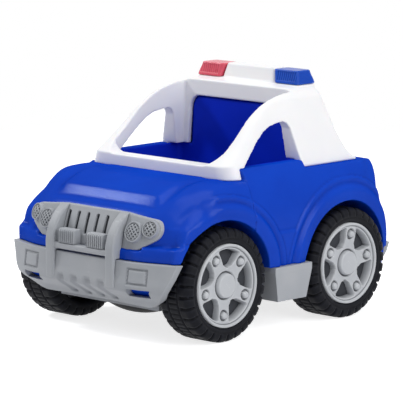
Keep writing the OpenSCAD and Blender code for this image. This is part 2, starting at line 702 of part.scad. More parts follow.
module cabin_top()
    color("#fafafa") difference() {
        union() {
            difference() {
                skin(cab_rings);
                // Open front and top between the side rails
                forward(-hoop_x, cowl_x + hoop_x + over)
                    gate(rail_low_y, cowl_z + cowl_h, rail_top_y, 2 * roof_z - cowl_z, hoop_round);
                forward(-hoop_x, foot_x + hoop_x)
                    gate(rail_low_y, cowl_z - 2 * over, rail_low_y - over, cowl_z + 2 * cowl_h, gate_round);
                across(2 * cab_w) polygon(window_points);
                // Room behind the seat hoop
                hull() {
                    translate([-cab_back_x + 2 * cab_wall, cab_wall - cab_w / 2, cowl_z - over])
                        cube([cab_back_x - hoop_x - hoop_t - 2 * cab_wall, cab_w - 2 * cab_wall, over]);
                    translate([room_back, -room_half, mix(cowl_z, roof_z, room_share)])
                        cube([-room_back - hoop_x - hoop_t, 2 * room_half, over]);
                    translate([-roof_back_x + cab_wall, -roof_w / 2 + 2 * cab_wall, roof_z - cab_wall - over])
                        cube([roof_back_x - hoop_x - hoop_t - cab_wall, roof_w - 4 * cab_wall, over / 2]);
                }
                forward(-hoop_x - hoop_t - over, hoop_t + 2 * over)
                    gate(hoop_low_y, cowl_z - 4 * over, hoop_top_y, hoop_z, hoop_round);
                // Foot of the rear pillars and of the back stands on the deck
                translate([-cab_back_x - over, -cab_w, cowl_z - over])
                    cube([cab_back_x + over, 2 * cab_w, deck_z - cowl_z + over]);
                translate([tub_back_x - fit, -tub_y - fit, cowl_z - over])
                    cube([-tub_back_x, 2 * (tub_y + fit), belt_z - cowl_z + over]);
                // Foot of the side rails stands on the door tops
                translate([-pillar_x, -cab_w, cowl_z - over])
                    cube([foot_x + pillar_x, 2 * cab_w, belt_z - cowl_z + over]);
            }
            // Light bar base and the block between the lenses
            translate([-bar_x - bar_d / 2, 0, roof_z - lens_seat]) hull() {
                cube([bar_d + 2 * lens_proud, bar_w, lens_seat], center = true);
                translate([0, 0, lens_z - roof_z + lens_seat / 2])
                    cube([bar_d + 2 * lens_proud, bar_w, lens_seat], center = true);
            }
            lean_block(-bar_x, -bar_mid_w / 2, bar_mid_w / 2, lens_z, bar_d, bar_h, mid_lean, mid_lean);
            for (s = [-1, 1])
                translate([-cab_peg_x, s * cab_peg_y, deck_z - peg_run]) hull() {
                    cylinder(r = peg_r - fit, h = over, $fn = 32);
                    translate([0, 0, over]) cylinder(r = peg_r, h = peg_run - over + wall, $fn = 32);
                }
        }
        for (s = [-1, 1])
            translate([-bar_x - bar_d / 2, s * lens_peg_y, roof_z - 4 * over])
                cylinder(r = peg_r + fit, h = 8 * over, $fn = 32);
    }

module lens(side)
    difference() {
        union() {
            mirror([0, side < 0 ? 1 : 0, 0])
                lean_block(-bar_x + lens_proud, bar_mid_w / 2 + 2 * fit, bar_w / 2, lens_z,
                    bar_d + 2 * lens_proud, bar_h, -mid_lean, bar_lean);
            translate([-bar_x - bar_d / 2, side * lens_peg_y, lens_z - lens_seat - over])
                cylinder(r = peg_r, h = 2 * over + lens_seat);
        }
        for (y = [bar_mid_w / 2 + lens_rib : 2 * lens_rib : bar_w / 2 - bar_lean - lens_rib])
            translate([-bar_x - bar_d / 2, side * y, lens_z + bar_foot + lens_rib])
                translate([0, -lens_rib / 4, 0]) cube([bar_d + lens_proud, lens_rib / 2, bar_h]);
    }

module red_lens() color("#d2324a") lens(-1);
module blue_lens() color("#194bbe") lens(1);

// Cockpit: floor, arm ledges and the seat back that closes the hoop

tub_wall = 2.4;
tub_in = 7;
tub_narrow_y = wheel_in_y - tub_in;
seat_back_t = 3;
seat_h = 14;
seat_d = 24;
seat_lap = 2;

module cockpit_tub()
    color("#15309c") {
        x1 = tub_back_x + fit;
        x2 = tub_front_x - fit;
        well_half = tub_y - fit - tub_wall;
        difference() {
            union() {
                translate([x1, -tub_narrow_y, floor_z - tub_wall])
                    cube([x2 - x1, 2 * tub_narrow_y, ledge_z - floor_z]);
                translate([x1, -tub_y + fit, ledge_z - tub_wall])
                    linear_extrude(belt_z - fit - ledge_z + tub_wall)
                        round_rect([x2 - x1, 2 * (tub_y - fit)], post_r);
            }
            translate([x1 + tub_wall + seat_back_t + fit, tub_wall - tub_narrow_y, floor_z])
                cube([x2 - x1 - 2 * (tub_wall + fit) - seat_back_t, 2 * (tub_narrow_y - tub_wall), roof_z]);
            translate([x1 + seat_back_t + tub_wall, tub_wall - tub_narrow_y, floor_z - tub_wall - over])
                cube([seat_d - 2 * tub_wall, 2 * (tub_narrow_y - tub_wall), seat_h + over]);
            translate([x1 + tub_wall + seat_back_t, -well_half, ledge_z])
                linear_extrude(roof_z)
                    round_rect([x2 - x1 - 2 * tub_wall - seat_back_t, 2 * well_half], tub_wall);
        }
        forward(x1, seat_back_t)
            gate(hoop_low_y + seat_lap, ledge_z - tub_wall,
                hoop_top_y + seat_lap, hoop_z + seat_lap, hoop_round);
        difference() {
            translate([x1 + seat_back_t, tub_wall / 2 - tub_narrow_y, floor_z - tub_wall])
                cube([seat_d, 2 * tub_narrow_y - tub_wall, seat_h + tub_wall]);
            translate([x1 + seat_back_t + tub_wall, tub_wall - tub_narrow_y, floor_z - tub_wall - over])
                cube([seat_d - 2 * tub_wall, 2 * (tub_narrow_y - tub_wall), seat_h + over]);
        }
    }

// Chassis: a tray with sills between the wheels, bearing bosses and round axle housings

tray_back_gap = 3;
tray_x = bumper_x - bumper_reach - bumper_t - tray_back_gap;
tray_wall_h = 18;
sill_proud = 3;
sill_y = half_w + sill_proud;
sill_front_gap = 7;
sill_front_x = front_axle - tyre_r - sill_front_gap;
sill_back_gap = 1;
sill_back_x = -rear_axle - tyre_r - sill_back_gap;
sill_length = sill_back_x + sill_front_x;
sill_lean = 1.5;
sill_chamfer = 4;
drum_wall = 3;
drum_taper = 4;
sill_wall = 8;
boss_w = 20;

// Round housing that is fullest in the middle
module drum(x, r, w)
    for (s = [-1, 1])
        translate([x, 0, axle_z]) rotate([-90 * s, 0, 0]) cylinder(r1 = r, r2 = r - drum_taper, h = w);

module sill(s)
    hull() {
        translate([-sill_back_x, s > 0 ? 0 : -sill_y, sill_z - sill_chamfer])
            cube([sill_length, sill_y, sill_chamfer]);
        translate([sill_chamfer - sill_back_x, s > 0 ? 0 : sill_lean - sill_y, tray_z])
            cube([sill_length - 2 * sill_chamfer, sill_y - sill_lean, sill_chamfer]);
    }

module chassis()
    color("#b2b5b8") difference() {
        union() {
            difference() {
                union() {
                    translate([-tray_x, -tray_y, tray_z])
                        cube([2 * tray_x, 2 * tray_y, tray_t + tray_wall_h]);
                    for (s = [-1, 1]) sill(s);
                }
                translate([tray_t - tray_x, tray_t - tray_y, tray_z + tray_t])
                    cube([2 * (tray_x - tray_t), 2 * (tray_y - tray_t), 2 * sill_z]);
                translate([sill_chamfer + tray_t - sill_back_x, sill_wall - sill_y, tray_z + tray_t])
                    cube([sill_length - 2 * (sill_chamfer + tray_t), 2 * (sill_y - sill_wall), sill_z]);
            }
            for (x = [front_axle, rear_axle]) {
                drum(x, drum_r, drum_w / 2);
                for (s = [-1, 1])
                    translate([x, s * (wheel_in_y - side_play), axle_z]) rotate([90 * s, 0, 0])
                        cylinder(r = boss_r, h = boss_w);
            }
            for (x = [tub_front_x - 2 * boss_r, tub_back_x + seat_back_t + seat_d + 2 * boss_r], s = [-1, 1])
                translate([x, s * drum_w / 2, tray_z]) cylinder(r = boss_r, h = floor_z - tub_wall - tray_z);
        }
        for (x = [front_axle, rear_axle]) {
            drum(x, drum_r - drum_wall, drum_w / 2 - drum_wall);
            translate([x - drum_r - over, -drum_w / 2 - fit, tray_z + tray_t + tray_wall_h])
                cube([2 * (drum_r + over), drum_w + 2 * fit, drum_r * 2]);
            crosswise(x, axle_z, -track_w, track_w) circle(axle_r + axle_clear);
        }
        for (x = [-post_x, post_x], s = [-1, 1])
            translate([x, s * post_y, tray_z - over]) {
                cylinder(r = screw_r + fit, h = 2 * over + tray_t);
                cylinder(r = screw_head_r + fit, h = over + tray_t / 2);
            }
    }

module chassis_screws()
    color("#9a9da0")
        for (x = [-post_x, post_x], s = [-1, 1])
            translate([x, s * post_y, tray_z]) {
                cylinder(r = screw_head_r, h = tray_t / 2);
                cylinder(r = screw_r, h = floor_z - 3 * wall - tray_z);
            }

// Bumpers: curved slabs whose outline narrows towards the wheels

bumper_ease_share = 0.45;
bumper_reach_shares = [[0, 0], [0.05, 0.12], [0.16, 0.34], [0.21, 0.48], [0.31, 0.78], [0.395, 0.955],
    [0.52, 1], [0.72, 0.94], [1, 0.88]];
bumper_width_shares = [[0, 0.63], [0.04, 0.68], [0.38, 0.876], [1, 1]];
bumper_row_shares = [0, 0.025, 0.05, 0.1, 0.16, 0.21, 0.26, 0.31, 0.36, 0.41, 0.48, 0.6, 0.8, 0.94, 1];
bumper_n = 8;
bumper_m = 14;
function bumper_front(y, t) =
    bumper_x - sweep(y)
    - bumper_reach * (1 - curve(bumper_reach_shares, t)) * (1 - bumper_ease_share * (2 * y / bumper_w) ^ 2);
function bumper_half(t) = bumper_w / 2 * curve(bumper_width_shares, t);
function bumper_z(t, grow = 0) = mix(bumper_low_z - grow, bumper_low_z + bumper_h + grow, t);
function bumper_ring(t, z, ahead = 0, room = 0) = concat(
    [for (j = [0 : 2 * bumper_m])
        let (y = (bumper_half(t) + room) * (j / bumper_m - 1)) [bumper_front(y, t) + ahead, y, z]],
    [for (j = [2 * bumper_m : -1 : 0])
        let (y = (bumper_half(t) + room) * (j / bumper_m - 1))
        [bumper_front(y, t) - bumper_t - (room > 0 ? fit : 0), y, z]]);
bumper_rings = [for (t = bumper_row_shares) bumper_ring(t, bumper_z(t))];
frame_z = 46.8;
frame_line = 1.4;
frame_cut = 0.8;
frame_round = 2;
slot_z = 35.8;
slot_slant = 2;
slot_y = 49.9;
flute_r = 4;
flute_d = 1.1;
flute_shares = [-1, -1 / 3, 1 / 3, 1];
flute_step_shares = [0.1, 0.17, 0.24, 0.31, 0.4, 0.5, 0.57];
flute_y = 19.2;
tyre_gap = 1.5;

module frame_outline(grow)
    hull()
        for (y = [-1, 1], z = [-1, 1])
            translate([y * (frame_w / 2 - frame_round), z * (frame_h / 2 - frame_round)])
                circle(frame_round + grow, $fn = 24);

module bumper_slot(s)
    hull()
        for (y = [-1, 1], z = [-1, 1])
            translate([s * (slot_y - y * slot_w / 2 - z * slot_slant / 2), slot_z + z * slot_h / 3])
                circle(slot_h / 6, $fn = 16);

bumper_peg_x = bumper_front(bumper_peg_y, (bumper_peg_z - bumper_low_z) / bumper_h) - bumper_t / 2;

module flute(y)
    for (i = [0 : len(flute_step_shares) - 2])
        hull()
            for (t = [flute_step_shares[i], flute_step_shares[i + 1]])
                translate([bumper_front(0, t) + flute_r - flute_d, y, bumper_z(t)]) sphere(flute_r, $fn = 14);

module front_bumper()
    color("#b2b5b8") difference() {
        union() {
            skin(bumper_rings);
            for (s = [-1, 1])
                translate([nose_x - peg_run, s * bumper_peg_y, bumper_peg_z]) rotate([0, 90, 0])
                    cylinder(r = peg_r, h = bumper_peg_x - nose_x + peg_run, $fn = 32);
        }
        for (s = [-1, 1]) {
            forward(bumper_front(flat_y, (frame_z - bumper_low_z) / bumper_h) - frame_cut, over)
                translate([s * flat_y, frame_z]) difference() {
                    frame_outline(0);
                    frame_outline(-frame_line);
                }
            forward(bumper_x - 4 * bumper_t, 5 * bumper_t) bumper_slot(s);
        }
        for (k = flute_shares) flute(k * flute_y);
        each_wheel() translate([0, 0, well_y]) cylinder(r = tyre_r + tyre_gap, h = body_w);
    }

rear_x = wheelbase / 2 + rear_overhang;
rear_reach = 11;
rear_reach_shares = [[0, 0.35], [0.15, 0.7], [0.4, 0.95], [0.6, 1], [1, 0.9]];
rear_row_shares = [0, 0.04, 0.15, 0.3, 0.45, 0.6, 0.8, 1];
function rear_face(y, t) =
    rear_reach * (1 - curve(rear_reach_shares, t)) + tail_bow * (abs(y) / half_w) ^ 3 - rear_x;
function rear_half(t) = rear_w / 2 * curve(bumper_width_shares, t);
function rear_z(t, grow = 0) = mix(bumper_low_z - grow, bumper_low_z + rear_h + grow, t);
function rear_ring(t, z, behind = 0, room = 0) = concat(
    [for (j = [0 : 2 * bumper_m])
        let (y = (rear_half(t) + room) * (j / bumper_m - 1))
        [rear_face(y, t) + bumper_t + (room > 0 ? fit : 0), y, z]],
    [for (j = [2 * bumper_m : -1 : 0])
        let (y = (rear_half(t) + room) * (j / bumper_m - 1)) [rear_face(y, t) - behind, y, z]]);
rear_rings = [for (t = rear_row_shares) rear_ring(t, rear_z(t))];

module rear_bumper()
    color("#b2b5b8") {
        skin(rear_rings);
        for (s = [-1, 1])
            translate([bumper_t / 2 + rear_face(bumper_peg_y, 1), s * bumper_peg_y, rear_peg_z])
                rotate([0, 90, 0]) cylinder(r = peg_r, h = peg_run, $fn = 32);
    }

// Grille: a raked slab with upright slots and two round lamps in each pod

grille_gap = grille_t + fit;
grille_low_z = 63.5;
grille_round = 3;
pod_low_y = 45;
lamp_in_y = 40.8;
lamp_in_z = 74.4;
lamp_out_y = 53.2;
lamp_out_z = 77.2;
lamp_ring = 2;
lamp_stand = 2.6;
dome_n = 4;
dome_share = 0.45;
grille_rows = 8;
function grille_front(y, z) = nose_face(0, z) - sweep(y) + grille_gap;
grille_mid = grille_front(grille_peg_y, grille_peg_z) - grille_t / 2;
function grille_row(z, set, order) = [for (j = order)
    let (y = j / bumper_m * (grille_w / 2 + over)) [grille_front(y, z) - set, y, z]];
grille_rings = [for (i = [0 : grille_rows])
    let (z = mix(grille_low_z - over, nose_z + over, i / grille_rows))
    concat(grille_row(z, 0, [-bumper_m : bumper_m]), grille_row(z, grille_t, [bumper_m : -1 : -bumper_m]))];

module grille_outline(grow = 0) {
    round_r = grille_round + grow;
    hull()
        for (s = [-1, 1]) {
            translate([s * pod_low_y, grille_low_z + grille_round]) circle(round_r, $fn = 24);
            translate([s * upright_y, nose_z - grille_round]) circle(round_r, $fn = 24);
        }
    for (s = [-1, 1])
        hull() {
            pod_r = grille_w / 2 - lamp_out_y;
            translate([s * lamp_out_y, lamp_out_z - (pod_r - lamp_out_r) / 4])
                circle(nose_z - lamp_out_z - grille_round / 2 + grow, $fn = 32);
            translate([s * lamp_in_y, lamp_in_z]) circle(lamp_in_r + lamp_ring + grow, $fn = 32);
            translate([s * pod_low_y, grille_low_z + grille_round]) circle(round_r, $fn = 24);
            translate([s * upright_y, nose_z - grille_round]) circle(round_r, $fn = 24);
        }
}

// Each lamp stands square to the slab where it sits
function lamp_tilt(y, z, r) = atan((grille_front(y, z - r) - grille_front(y, z + r)) / (2 * r));
function lamp_turn(y, z, r) = atan((grille_front(y - r, z) - grille_front(y + r, z)) / (2 * r));
module headlamp(y, z, r)
    translate([grille_front(y, z), y, z]) rotate([0, 90 - lamp_tilt(y, z, r), lamp_turn(y, z, r)]) {
        difference() {
            translate([0, 0, -grille_t / 2])
                cylinder(r = r + lamp_ring / 2, h = grille_t / 2 + lamp_stand, $fn = 28);
            translate([0, 0, lamp_stand / 2]) cylinder(r = r, h = over, $fn = 28);
        }
        rotate_extrude($fn = 24) polygon(concat(
            [[0, -grille_t / 3], [r, -grille_t / 3]],
            [for (k = [0 : dome_n])
                let (a = 90 * k / dome_n) [r * cos(a), lamp_stand * mix(dome_share, 1, sin(a))]]));
    }

module grille_panel()
    color("#b9bcbf") {
        difference() {
            intersection() {
                skin(grille_rings);
                forward(0, 2 * nose_x) grille_outline();
            }
            for (i = [0 : grille_n - 1])
                let (y = (i - (grille_n - 1) / 2) * grille_pitch)
                forward(0, 2 * nose_x) hull()
                    for (z = [grille_low_z + 2 * grille_round, nose_z - grille_round])
                        translate([y, z]) circle(grille_slot / 2, $fn = 13);
        }
        for (s = [-1, 1]) {
            headlamp(s * lamp_in_y, lamp_in_z, lamp_in_r);
            headlamp(s * lamp_out_y, lamp_out_z, lamp_out_r);
            translate([grille_mid - peg_run, s * grille_peg_y, grille_peg_z])
                rotate([0, 90, 0]) cylinder(r = peg_r, h = peg_run, $fn = 32);
        }
    }

// Push bar: two bowed uprights, a cross rail and two ribbed spot lamps

push_x = wheelbase / 2 + front_overhang;
upright_low_z = 37.8;
upright_h = nose_z - upright_low_z;
upright_reach = push_x - nose_face(0, nose_z);
upright_front_shares = [[0, 0.975], [0.12, 0.99], [0.3, 1], [0.5, 1], [0.68, 0.9], [0.84, 0.66], [0.94, 0.4],
    [1, 0.18]];
upright_n = 24;
rail_z = 57.6;
rail_h = 4.2;
rail_d = 6;
spot_y = 13.4;
spot_d = 6;
rib_d = 0.8;
spot_x = push_x - upright_reach / 4 - rail_d / 2 - fit;
function bumper_at(z) =
    z > bumper_low_z + bumper_h + bumper_set ? 0 : bumper_front(0, (z - bumper_low_z) / bumper_h);
function upright_back(z) = max(grille_front(upright_y, z), bumper_at(z)) + fit;
function upright_front(t) = nose_face(0, nose_z) + upright_reach * curve(upright_front_shares, t);
function upright_points() = concat(
    [for (i = [0 : upright_n]) let (t = i / upright_n) [upright_front(t), upright_low_z + upright_h * t]],
    [for (i = [upright_n : -1 : 0])
        let (z = upright_low_z + upright_h * i / upright_n)
        [min(upright_back(z), upright_front(i / upright_n) - fit), z]]);

module push_bar()
    color("#a6a9ac") {
        for (s = [-1, 1])
            translate([0, s * upright_y, 0]) across(upright_w) polygon(upright_points());
        translate([push_x - upright_reach / 4 - rail_d / 2, -upright_y, rail_z])
            cube([rail_d, 2 * upright_y, rail_h]);
        for (s = [-1, 1])
            translate([spot_x, s * spot_y - spot_w / 2, rail_z + rail_h - fit])
                linear_extrude(spot_h) {
                    square([spot_d, spot_w]);
                    for (i = [0 : spot_n - 1])
                        translate([spot_d - rib_d, (i + 1 / 4) * spot_w / spot_n])
                            square([2 * rib_d, spot_w / spot_n / 2]);
                }
    }

module front_axle() axle(front_axle);
module rear_axle() axle(rear_axle);
module tyre_front_left() tyre(front_axle, 1);
module tyre_front_right() tyre(front_axle, -1);
module tyre_rear_left() tyre(rear_axle, 1);
module tyre_rear_right() tyre(rear_axle, -1);
module rim_front_left() rim(front_axle, 1, front_spoke_angle);
module rim_front_right() rim(front_axle, -1, front_spoke_angle);
module rim_rear_left() rim(rear_axle, 1, rear_spoke_angle);
module rim_rear_right() rim(rear_axle, -1, rear_spoke_angle);

body_shell();
cabin_top();
cockpit_tub();
chassis();
front_bumper();
rear_bumper();
grille_panel();
push_bar();
red_lens();
blue_lens();
chassis_screws();
front_axle();
rear_axle();
tyre_front_left();
tyre_front_right();
tyre_rear_left();
tyre_rear_right();
rim_front_left();
rim_front_right();
rim_rear_left();
rim_rear_right();
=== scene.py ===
import math

import bmesh
import bpy
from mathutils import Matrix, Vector


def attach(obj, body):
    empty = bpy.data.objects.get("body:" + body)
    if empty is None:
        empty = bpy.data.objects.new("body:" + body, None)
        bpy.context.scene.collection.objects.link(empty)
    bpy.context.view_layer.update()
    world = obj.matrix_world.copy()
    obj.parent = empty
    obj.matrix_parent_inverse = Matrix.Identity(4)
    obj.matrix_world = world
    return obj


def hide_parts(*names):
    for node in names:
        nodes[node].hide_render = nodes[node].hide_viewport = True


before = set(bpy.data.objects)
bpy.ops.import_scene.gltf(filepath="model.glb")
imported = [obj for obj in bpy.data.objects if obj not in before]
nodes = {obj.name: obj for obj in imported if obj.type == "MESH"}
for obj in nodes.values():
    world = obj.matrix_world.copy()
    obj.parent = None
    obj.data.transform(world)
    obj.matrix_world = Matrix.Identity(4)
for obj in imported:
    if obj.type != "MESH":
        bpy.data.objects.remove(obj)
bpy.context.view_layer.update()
mm = 0.001  # sizes below are written in millimetres
pastSide = 120  # cutters reach this far, past both sides of the car
scene = bpy.context.scene
print("frame loaded:", len(nodes), "nodes")


# small tools

def mix(a, b, t):
    return a + (b - a) * t


def ease(lo, hi, x):
    # smooth step from 0 at lo to 1 at hi
    t = min(1, max(0, (x - lo) / (hi - lo)))
    return t * t * (3 - 2 * t)


def curve(rows, x):
    # soft curve through the rows, no overshoot
    if x <= rows[0][0]:
        return rows[0][1]
    if x >= rows[-1][0]:
        return rows[-1][1]
    chords = [(b[1] - a[1]) / (b[0] - a[0]) for a, b in zip(rows, rows[1:])]
    i = max(k for k in range(len(chords)) if rows[k][0] <= x)
    slopes = []
    for k in (i, i + 1):
        if k in (0, len(chords)):
            slopes.append(chords[min(k, len(chords) - 1)])
        else:
            a, b = chords[k - 1], chords[k]
            slopes.append(2 * a * b / (a + b) if a * b > 0 else 0)
    (x0, y0), (x1, y1) = rows[i], rows[i + 1]
    h = x1 - x0
    t = (x - x0) / h
    s = 1 - t
    return ((1 + 2 * t) * s * s * y0 + t * s * s * h * slopes[0]
            + t * t * (3 - 2 * t) * y1 - t * t * s * h * slopes[1])


def meshPiece(name, points, faces):
    mesh = bpy.data.meshes.new(name)
    mesh.from_pydata([tuple(c * mm for c in p) for p in points], [], faces)
    bm = bmesh.new()
    bm.from_mesh(mesh)
    bmesh.ops.remove_doubles(bm, verts=bm.verts, dist=1e-7)
    bmesh.ops.recalc_face_normals(bm, faces=bm.faces)
    bm.to_mesh(mesh)
    bm.free()
    piece = bpy.data.objects.new(name, mesh)
    scene.collection.objects.link(piece)
    return piece


def loft(name, rings):
    # closed rings with the same number of points, capped at both ends
    n = len(rings[0])
    points = [p for ring in rings for p in ring]
    faces = [tuple(range(n)), tuple(range((len(rings) - 1) * n, len(rings) * n))]
    for r in range(len(rings) - 1):
        for i in range(n):
            j = (i + 1) % n
            faces.append((r * n + i, r * n + j, (r + 1) * n + j, (r + 1) * n + i))
    return meshPiece(name, points, faces)


def turned(name, rows):
    # rows of points round an axle, closed both ways
    n, count = len(rows), len(rows[0])
    faces = []
    for i in range(n):
        for k in range(count):
            j, m = (i + 1) % n, (k + 1) % count
            faces.append((i * count + k, i * count + m, j * count + m, j * count + k))
    return meshPiece(name, [p for row in rows for p in row], faces)


def domed(name, tip, rows):
    # rows of points round a middle point, closed by a flat face behind the last row
    count = len(rows[0])
    faces = [(0, 1 + k, 1 + (k + 1) % count) for k in range(count)]
    for i in range(len(rows) - 1):
        for k in range(count):
            a, b, j = 1 + i * count, 1 + (i + 1) * count, (k + 1) % count
            faces.append((a + k, b + k, b + j, a + j))
    last = 1 + (len(rows) - 1) * count
    faces.append(tuple(range(last, last + count)))
    return meshPiece(name, [tip] + [p for row in rows for p in row], faces)


def prism(name, outline, plane, a, b):
    # outline pushed along the axis that the plane leaves out
    place = {
        "xz": lambda p, d: (p[0], d, p[1]),
        "yz": lambda p, d: (d, p[0], p[1]),
        "xy": lambda p, d: (p[0], p[1], d),
    }[plane]
    return loft(name, [[place(p, d) for p in outline] for d in (a, b)])


def rounded(x0, y0, x1, y1, radius, steps=8):
    # rectangle with round corners, anticlockwise from the low right one; one radius or a list of four
    radii = radius if isinstance(radius, list) else [radius] * 4
    corners = [(x1, y0, -90), (x1, y1, 0), (x0, y1, 90), (x0, y0, 180)]
    out = []
    for (x, y, start), r in zip(corners, radii):
        cx = x - r if x == x1 else x + r
        cy = y - r if y == y1 else y + r
        for k in range(steps + 1):
            a = math.radians(start + 90 * k / steps)
            out.append((cx + r * math.cos(a), cy + r * math.sin(a)))
    return out


def gate(lowHalf, lowZ, topHalf, topZ, radius, foot=0):
    # doorway outline across the car, round at the top corners and, with foot, at the bottom ones
    lean = math.atan2(lowHalf - topHalf, topZ - lowZ)
    pts = []
    for side in (-1, 1):
        if not foot:
            pts.append((side * lowHalf, lowZ))
            continue
        for k in range(11):
            a = mix(-math.pi, -math.pi / 2, k / 10) if side < 0 else mix(-math.pi / 2, 0, k / 10)
            pts.append((side * (lowHalf - foot) + foot * math.cos(a), lowZ + foot + foot * math.sin(a)))
    for side in (1, -1):
        cy, cz = side * (topHalf - radius), topZ - radius
        for k in range(13):
            a = mix(lean, math.pi / 2, k / 12) if side > 0 else mix(math.pi / 2, math.pi - lean, k / 12)
            pts.append((cy + radius * math.cos(a), cz + radius * math.sin(a)))
    return pts


def combine(base, adds=(), cuts=(), keeps=()):
    # joined, then cut away, then kept only inside
    others = [(o, "UNION") for o in adds] + [(o, "DIFFERENCE") for o in cuts] + [(o, "INTERSECT") for o in keeps]
    for other, way in others:
        step = base.modifiers.new(way, "BOOLEAN")
        step.object, step.operation, step.solver = other, way, "MANIFOLD"
    bake(base)
    for other, way in others:
        bpy.data.objects.remove(other)


def finishShape(base, adds=(), cuts=(), voxel=0.7, rounds=5, faces=0):
    # joins and cuts, then rounds every edge the way a mould does
    combine(base, adds, cuts)
    step = base.modifiers.new("remesh", "REMESH")
    step.mode, step.voxel_size, step.adaptivity = "VOXEL", voxel * mm, 0
    step = base.modifiers.new("soften", "SMOOTH")
    step.factor, step.iterations = 0.5, rounds
    bake(base)
    if faces and len(base.data.polygons) * 2 > faces:
        step = base.modifiers.new("thin", "DECIMATE")
        step.ratio = faces / (len(base.data.polygons) * 2)
        bake(base)
    print(base.name, len(base.data.polygons), "faces")
    return dress(base)


def bevelEdges(piece, width, segments, angle):
    step = piece.modifiers.new("edges", "BEVEL")
    step.width, step.segments = width * mm, segments
    step.limit_method, step.angle_limit = "ANGLE", math.radians(angle)


def bake(piece):
    bpy.context.view_layer.update()
    made = bpy.data.meshes.new_from_object(piece.evaluated_get(bpy.context.evaluated_depsgraph_get()))
    piece.modifiers.clear()
    old, piece.data = piece.data, made
    bpy.data.meshes.remove(old)
    made.name = piece.name


def dress(piece, body="car"):
    for p in piece.data.polygons:
        p.use_smooth = True
    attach(piece, body)
    return piece


# materials

def hexLinear(code):
    parts = [int(code[i:i + 2], 16) / 255 for i in (1, 3, 5)]
    return tuple(c / 12.92 if c <= 0.04045 else ((c + 0.055) / 1.055) ** 2.4 for c in parts) + (1,)


def addNode(tree, kind, links=(), **settings):
    # settings go to the node's own fields or to its sockets, links are (socket, from node, from socket)
    node = tree.nodes.new(kind)
    for key, value in settings.items():
        if hasattr(node, key) and key not in node.inputs:
            setattr(node, key, value)
            continue
        byNumber = key.startswith("in") and key[2:].isdigit()  # in7 is the socket numbered 7
        node.inputs[int(key[2:]) if byNumber else key.replace("_", " ")].default_value = value
    for socket, other, out in links:
        tree.links.new(other.outputs[out], node.inputs[socket])
    return node


def perMetre(size):
    # noise scale whose features are about this many millimetres
    return 1000 / size


def makeFinish(name, look):
    # fine grain, faint flow marks in the colour, uneven gloss, a painted highlight that makes sharp edges lighter,
    # painted shade that makes nooks darker
    material = bpy.data.materials.new(name)
    material.use_nodes = True
    tree = material.node_tree
    tree.nodes.clear()
    place = addNode(tree, "ShaderNodeTexCoord")
    onPiece = ("Vector", place, "Object")
    edge = addNode(tree, "ShaderNodeNewGeometry")
    sharp = ("Value", edge, "Pointiness")

    # colour: flow marks, then a painted highlight on sharp edges, then painted shade in nooks
    flow = addNode(tree, "ShaderNodeTexNoise", [onPiece], Scale=perMetre(look["flow"]), Detail=3.0)
    tone = addNode(tree, "ShaderNodeValToRGB", [("Fac", flow, "Fac")])
    for stop, at, colour in zip(tone.color_ramp.elements, (0.3, 0.7), (look["deep"], look["colour"])):
        stop.position, stop.color = at, hexLinear(colour)
    # painted highlight: sharp convex edges (high pointiness) get the lighter edge colour, as if they caught the light
    edgeHighlight = addNode(tree, "ShaderNodeMapRange", [sharp], clamp=True,
                  From_Min=0.5, From_Max=look.get("edgeHighlightAt", 0.62), To_Max=look.get("edgeHighlight", 0.25))
    edgeHighlit = addNode(tree, "ShaderNodeMix", [("Factor", edgeHighlight, "Result"), (6, tone, "Color")],
                   data_type="RGBA", in7=hexLinear(look["edge"]))
    # painted shade: creases, troughs and hollows (low pointiness) get the darker shade colour, as if shade fell there
    nook = addNode(tree, "ShaderNodeMapRange", [sharp], clamp=True,
                   From_Min=0.5, From_Max=look.get("nookAt", 0.42), To_Max=look.get("nook", 0.5))
    nookShaded = addNode(tree, "ShaderNodeMix", [("Factor", nook, "Result"), (6, edgeHighlit, 2)],
                    data_type="RGBA", in7=hexLinear(look["shade"]))

    # gloss that drifts over the piece, and the tool's grain
    cloud = addNode(tree, "ShaderNodeTexNoise", [onPiece], Scale=perMetre(look["cloud"]), Detail=2.0)
    gloss = addNode(tree, "ShaderNodeMapRange", [("Value", cloud, "Fac")],
                    To_Min=look["rough"] - look["roughVary"], To_Max=look["rough"] + look["roughVary"])
    grain = addNode(tree, "ShaderNodeTexNoise", [onPiece], Scale=perMetre(look["grain"]), Detail=2.0)
    lift = addNode(tree, "ShaderNodeBump", [("Height", grain, "Fac")],
                   Strength=look["bump"], Distance=look["grain"] * mm * 0.3)
    surface = [("Roughness", gloss, "Result"), ("Normal", lift, "Normal")]

    skin = addNode(tree, "ShaderNodeBsdfPrincipled", [("Base Color", nookShaded, 2)] + surface,
                   IOR=look["ior"], Metallic=look.get("metal", 0.0),
                   Specular_IOR_Level=look.get("shine", 0.5), Specular_Tint=hexLinear(look.get("sheen", "#ffffff")))
    if "glow" in look:  # light that gets a little way into the plastic
        skin.inputs["Subsurface Weight"].default_value = look["glow"]
        skin.inputs["Subsurface Radius"].default_value = (1.0, 0.6, 0.4)
        skin.inputs["Subsurface Scale"].default_value = 1.2 * mm
    if "satin" in look:  # even reflection that doesn't wash out at low angles
        polish = addNode(tree, "ShaderNodeBsdfAnisotropic", surface, Color=hexLinear(look["sheen"]))
        skin = addNode(tree, "ShaderNodeMixShader", [(1, skin, 0), (2, polish, 0)], in0=look["satin"])
    addNode(tree, "ShaderNodeOutputMaterial", [("Surface", skin, 0)])
    return material
